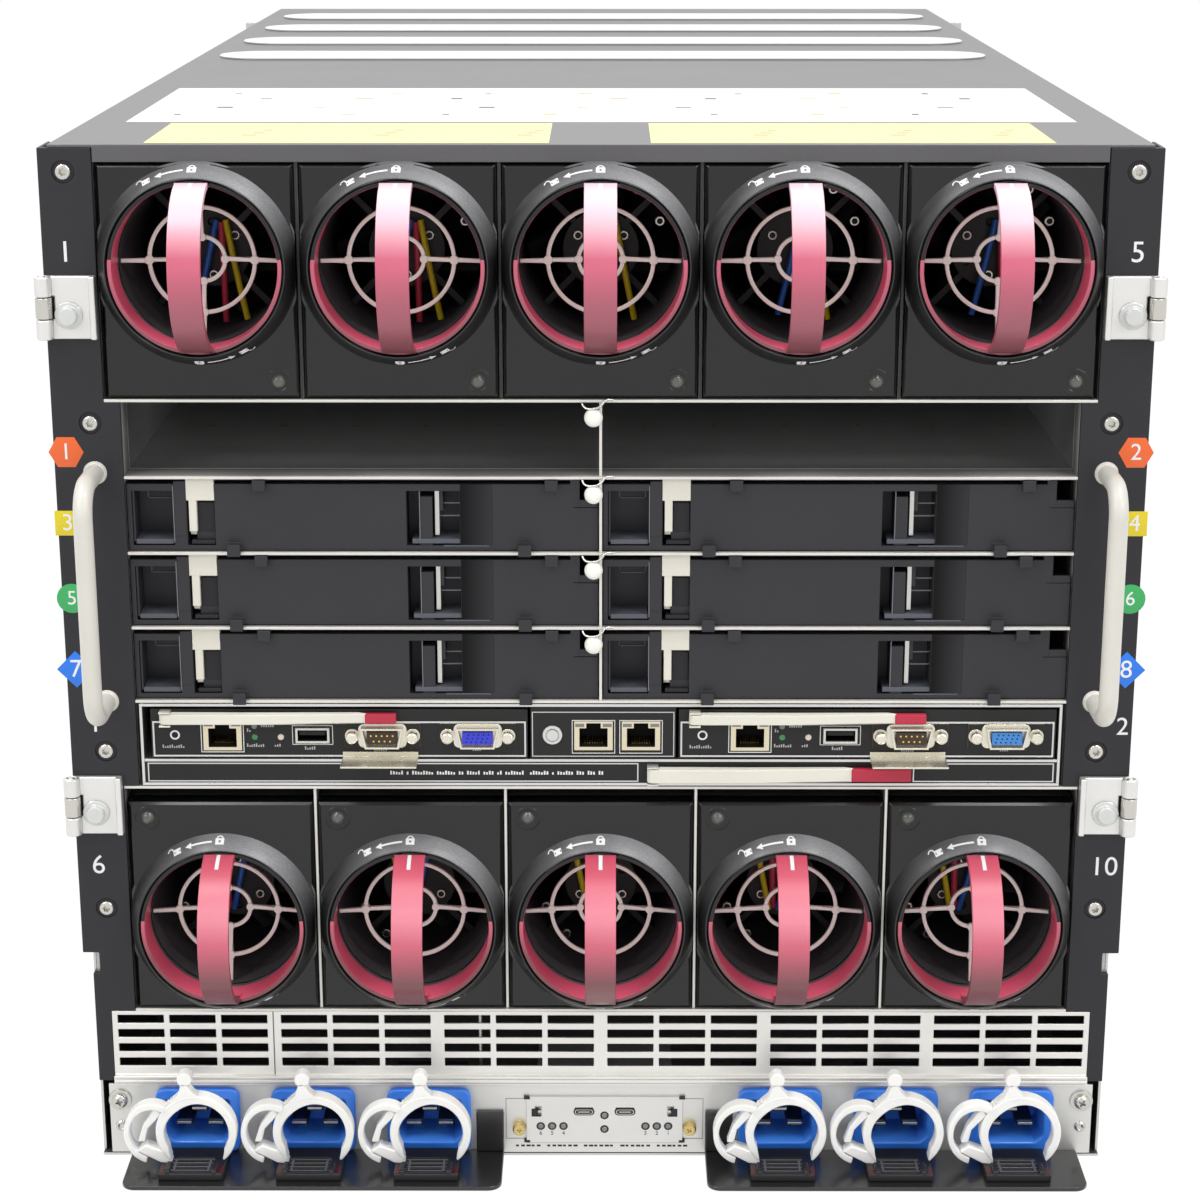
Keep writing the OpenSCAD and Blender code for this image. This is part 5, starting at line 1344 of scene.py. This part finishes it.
for n in (1, 2):
    low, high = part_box(f"management_module_{n}")
    module_x, module_z = low.x, low.z
    mx, mz = low.x / mm, low.z / mm
    body = f"module_{n}"
    video = insert_blue if n == 1 else insert_sky
    card = pressed(f"module_{n}_card", f"management_module_{n}",
                   [face_black, gold_shell, insert_brown, video, nickel, hole_painted_shade], module_solid, width=0.15)
    tint(card, 5, lambda at, normal: abs(at.x - mx - socket_x) < 8.3 and rear + 0.4 < at.y < rear + 20)
    tint(card, 0, lambda at, normal: normal.y < -0.9 and abs(at.y - rear + 0.85) < 0.1
         and 80 < at.x - mx < 156 and abs(at.z - mz - 10.2) < 5.6)
    stand(card, body, f"management_module_{n}", slot="module_face")
    lines = bmesh.new()
    frame_line(lines, mx + 0.7, mx + 157.9, mz + 0.7, mz + 16.4, 0.32, 0.75)
    frame_line(lines, mx + 20.9, mx + 39.1, mz + 2.6, mz + 17.0, 0.34, 0.35, 1)
    frame_line(lines, mx + 59.4, mx + 76.6, mz + 5.9, mz + 14.5, 0.1, 0.3, 1)
    frame_line(lines, mx + 60.9, mx + 75.1, mz + 6.9, mz + 13.5, 1.3, 0.5)
    stand(built(f"module_{n}_outline", lines, [silver, white_print], width=0.1), body, slot="module_face")
    port_z = mz + 10.2
    flanges = bmesh.new()
    for x in (serial_x, video_x):
        flange(flanges, mx + x, port_z, [
            (rounded(10.2, 5.3, 2.4), 0.0), (rounded(10.2, 5.3, 2.4), -0.35),
            (rounded(9.6, 4.8, 2.2), -0.5), (rounded(9.0, 4.6, 1.8), -0.5)])
        for side in (-1, 1):
            flange(flanges, mx + x + side * ear, port_z, [
                (rounded(3.1, 3.0, 2.9), 0.0), (rounded(3.1, 3.0, 2.9), -0.35),
                (rounded(2.8, 2.7, 2.6), -0.45)])
    stand(built(f"module_{n}_flanges", flanges, nickel, width=0.1), body, slot="module_face")
    prints = bmesh.new()
    for x, z, w in ((4.6, 4.4, 9.5), (40.4, 11.6, 2.4), (40.2, 4.9, 8.4), (46.4, 13.7, 6),
                    (51.9, 5.0, 3.6), (64.6, 3.7, 5.6), (93.8, 3.0, 6.2), (135.4, 3.2, 4.4)):
        for k in range(max(1, int(w / 0.95))):
            at, tall = mx + x + k * 0.95, 1.5 - (k * 3 + int(x)) % 4 * 0.25
            slab(prints, (at, rear - 0.05, mz + z), (at + 0.55, rear, mz + z + tall))
    stand(built(f"module_{n}_prints", prints, pale_print, smooth=False), body, slot="module_face")
    inserts = bmesh.new()
    for row, count in ((1, 5), (-1, 4)):
        for k in range(count):
            x, z = mx + serial_x + (k - (count - 1) / 2) * 2.3, port_z + row * 1.2
            slab(inserts, (x - 0.35, rear - 5.0, z - 0.35), (x + 0.35, rear - 4.5, z + 0.35))
    for row in (1, 0, -1):
        for k in range(5):
            x, z = mx + video_x + (k - 2) * 2.1 + row * 0.5, port_z + row * 1.6
            slab(inserts, (x - 0.32, rear - 4.66, z - 0.32), (x + 0.32, rear - 4.55, z + 0.32), 1)
    jack_marks(inserts, mx + socket_x, port_z - 4.9, 0, 2)
    slab(inserts, (mx + 62.6, rear - 0.6, port_z + 0.3), (mx + 73.4, rear + 6, port_z + 1.9), 1)
    stand(built(f"module_{n}_pins", inserts, [pins_gold, hole_painted_shade, led_grey]), body, slot="module_face")
    for k, x in enumerate((serial_x - ear, serial_x + ear, video_x - ear, video_x + ear)):
        spot = Vector(((mx + x) * mm, rear_y, port_z * mm))
        place(f"module_{n}_jack_screw_{k + 1}", jack_screw, spot, body, turn=k * 17, slot="module_face")
        place(f"module_{n}_jack_pit_{k + 1}", pit, spot - Vector((0, 3.0 * mm, 0)), body, slot="module_face")
    for part, mesh, x, z in (("led_on", led, 43.6, 9.2), ("led_off", led_off, 43.5, 14.0),
                             ("pip", pip, 54.6, 9.3), ("reset_ring", ring_ink, 10, 10.2),
                             ("reset_pit", reset_pit, 10, 10.2)):
        place(f"module_{n}_{part}", mesh, ((mx + x) * mm, rear_y, (mz + z) * mm), body, slot="module_face")
    arm = pressed(f"module_{n}_lever", f"management_lever_{n}", [lever_ivory, lever_red], width=0.5)
    tint(arm, 1, lambda at, normal: at.x - mx > 6.6 + lever_grip - 1.2)
    stand(arm, f"lever_{n}", f"management_lever_{n}", slot="lever_plastic")

# the sleeve itself, its middle block, link sockets and printed strip
sleeve_low, sleeve_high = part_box("sleeve")
button_x, button_z = middle_of("locator_button").x, middle_of("locator_button").z
link_xs = (-3, 17)


def sleeve_solid(low, high):
    size = (high - low) / mm
    if size.x > 300 and size.z > 5 and size.y < 5 or (40 < size.x < 100 and size.z > 15):
        return 1
    if 15 < size.x < 17 and size.z > 12:
        return 2
    return 0


sleeve = pressed("sleeve_sheets", "sleeve", [silver, face_black, gold_shell, hole_painted_shade], sleeve_solid, width=0.15)
tint(sleeve, 3, lambda at, normal: min(abs(at.x - x) for x in link_xs) < 8.3
     and rear + 0.4 < at.y < rear + 20 and abs(at.z - button_z) < 9)
stand(sleeve, "sleeve", "sleeve", slot="bare_sheet")
lines = bmesh.new()
frame_line(lines, -28.9, 31.0, mz + 0.7, mz + 20.6, 0.1, 0.4)
strip_z0, strip_z1 = sleeve_low.z / mm + 1.6, module_z / mm - 2.1
frame_line(lines, sleeve_low.x / mm + 2.4, 16, strip_z0, strip_z1 - 0.2, -0.3, 0.55)
frame_line(lines, 132, sleeve_high.x / mm - 2.4, strip_z0, strip_z1 - 0.2, -0.3, 0.55)
for x in link_xs:
    frame_line(lines, x - 9.1, x + 9.1, button_z - 8.2, button_z + 6.6, 0.34, 0.3, 1)
    jack_marks(lines, x, button_z - 5.3, 2, 3)
for k in range(78):
    if k % 17 not in (7, 16) and k % 11 != 5:
        x, tall = -89 + k * 1.16, 1.7 - (k * 5) % 4 * 0.22
        slab(lines, (x, rear + 0.3, strip_z0 + 3.2), (x + 0.74, rear + 0.35, strip_z0 + 3.2 + tall), 1)
outlines = built("sleeve_outlines", lines, [silver, white_print, pins_gold, led_grey], width=0.08)
stand(outlines, "sleeve", slot="module_face")
button_spot = (button_x * mm, rear_y, button_z * mm)
button_ring = turned("button_ring", [
    (2.95, -0.2), (3.1, -0.85), (3.7, -0.9), (4.1, -0.6), (4.2, 0.0)], [silver], 48)
place("locator_ring", button_ring, button_spot, "sleeve", slot="module_face")
cap = turned("button_cap", [
    (0.2, -1.25), (0.9, -1.3), (1.9, -1.4), (2.4, -1.2), (2.58, -0.7), (2.6, 6.0)], [silver], 40)
button = bpy.data.objects.new("locator_cap", cap)
button.location = button_spot
stand(button, "locator_button", "locator_button", slot="button_plastic")
long_arm = pressed("ejector_lever", "sleeve_lever", [lever_ivory, lever_red], width=0.6)
tint(long_arm, 1, lambda at, normal: at.x > 22 + lever_grip - 1.2)
stand(long_arm, "sleeve_lever", "sleeve_lever", slot="lever_plastic")

# ------------------------------------------------------------- the latches
# Four cast alloy leaves hinged at the case's corners; each carries a captive
# screw in a clear washer, and folds out to let the case be joined.
latch_alloy = galvanised("latch_alloy", (232, 231, 228), 0.14, 0.46)
washer_clear = moulded("latch_washer", (208, 210, 208), 0.2, 0.06, coat=0.4)


def latch_solid(low, high):
    if high.z - low.z > 15 * mm:
        return 0
    return 1 if high.z - low.z > 9 * mm else None


captive = turned("captive_screw", [
    (lobed(1.4, 6, 0.24), -4.9), (lobed(1.5, 6, 0.24), -6.6), (lobed(1.7, 6, 0.2), -6.95), (2.6, -7.0),
    (3.4, -6.7), (3.8, -6.0), (3.8, -3.9), (5.0, -3.8), (5.6, -3.4), (5.6, -2.7)], [zinc], 48)
for n in range(1, 5):
    low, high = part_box(f"latch_leaf_{n}")
    leaf = pressed(f"latch_{n}_leaf", f"latch_leaf_{n}", [latch_alloy, washer_clear], latch_solid, width=0.7)
    stand(leaf, f"latch_{n}", f"latch_leaf_{n}", slot="latch_alloy")
    from_edge = 3.4 + 9.7
    screw_x = low.x + from_edge * mm if low.x < 0 else high.x - from_edge * mm
    screw_z = low.z + 0.38 * 25.6 * mm
    place(f"latch_{n}_screw", captive, (screw_x, low.y + 7.05 * mm, screw_z), f"latch_{n}", turn=n * 20,
          slot="latch_alloy")
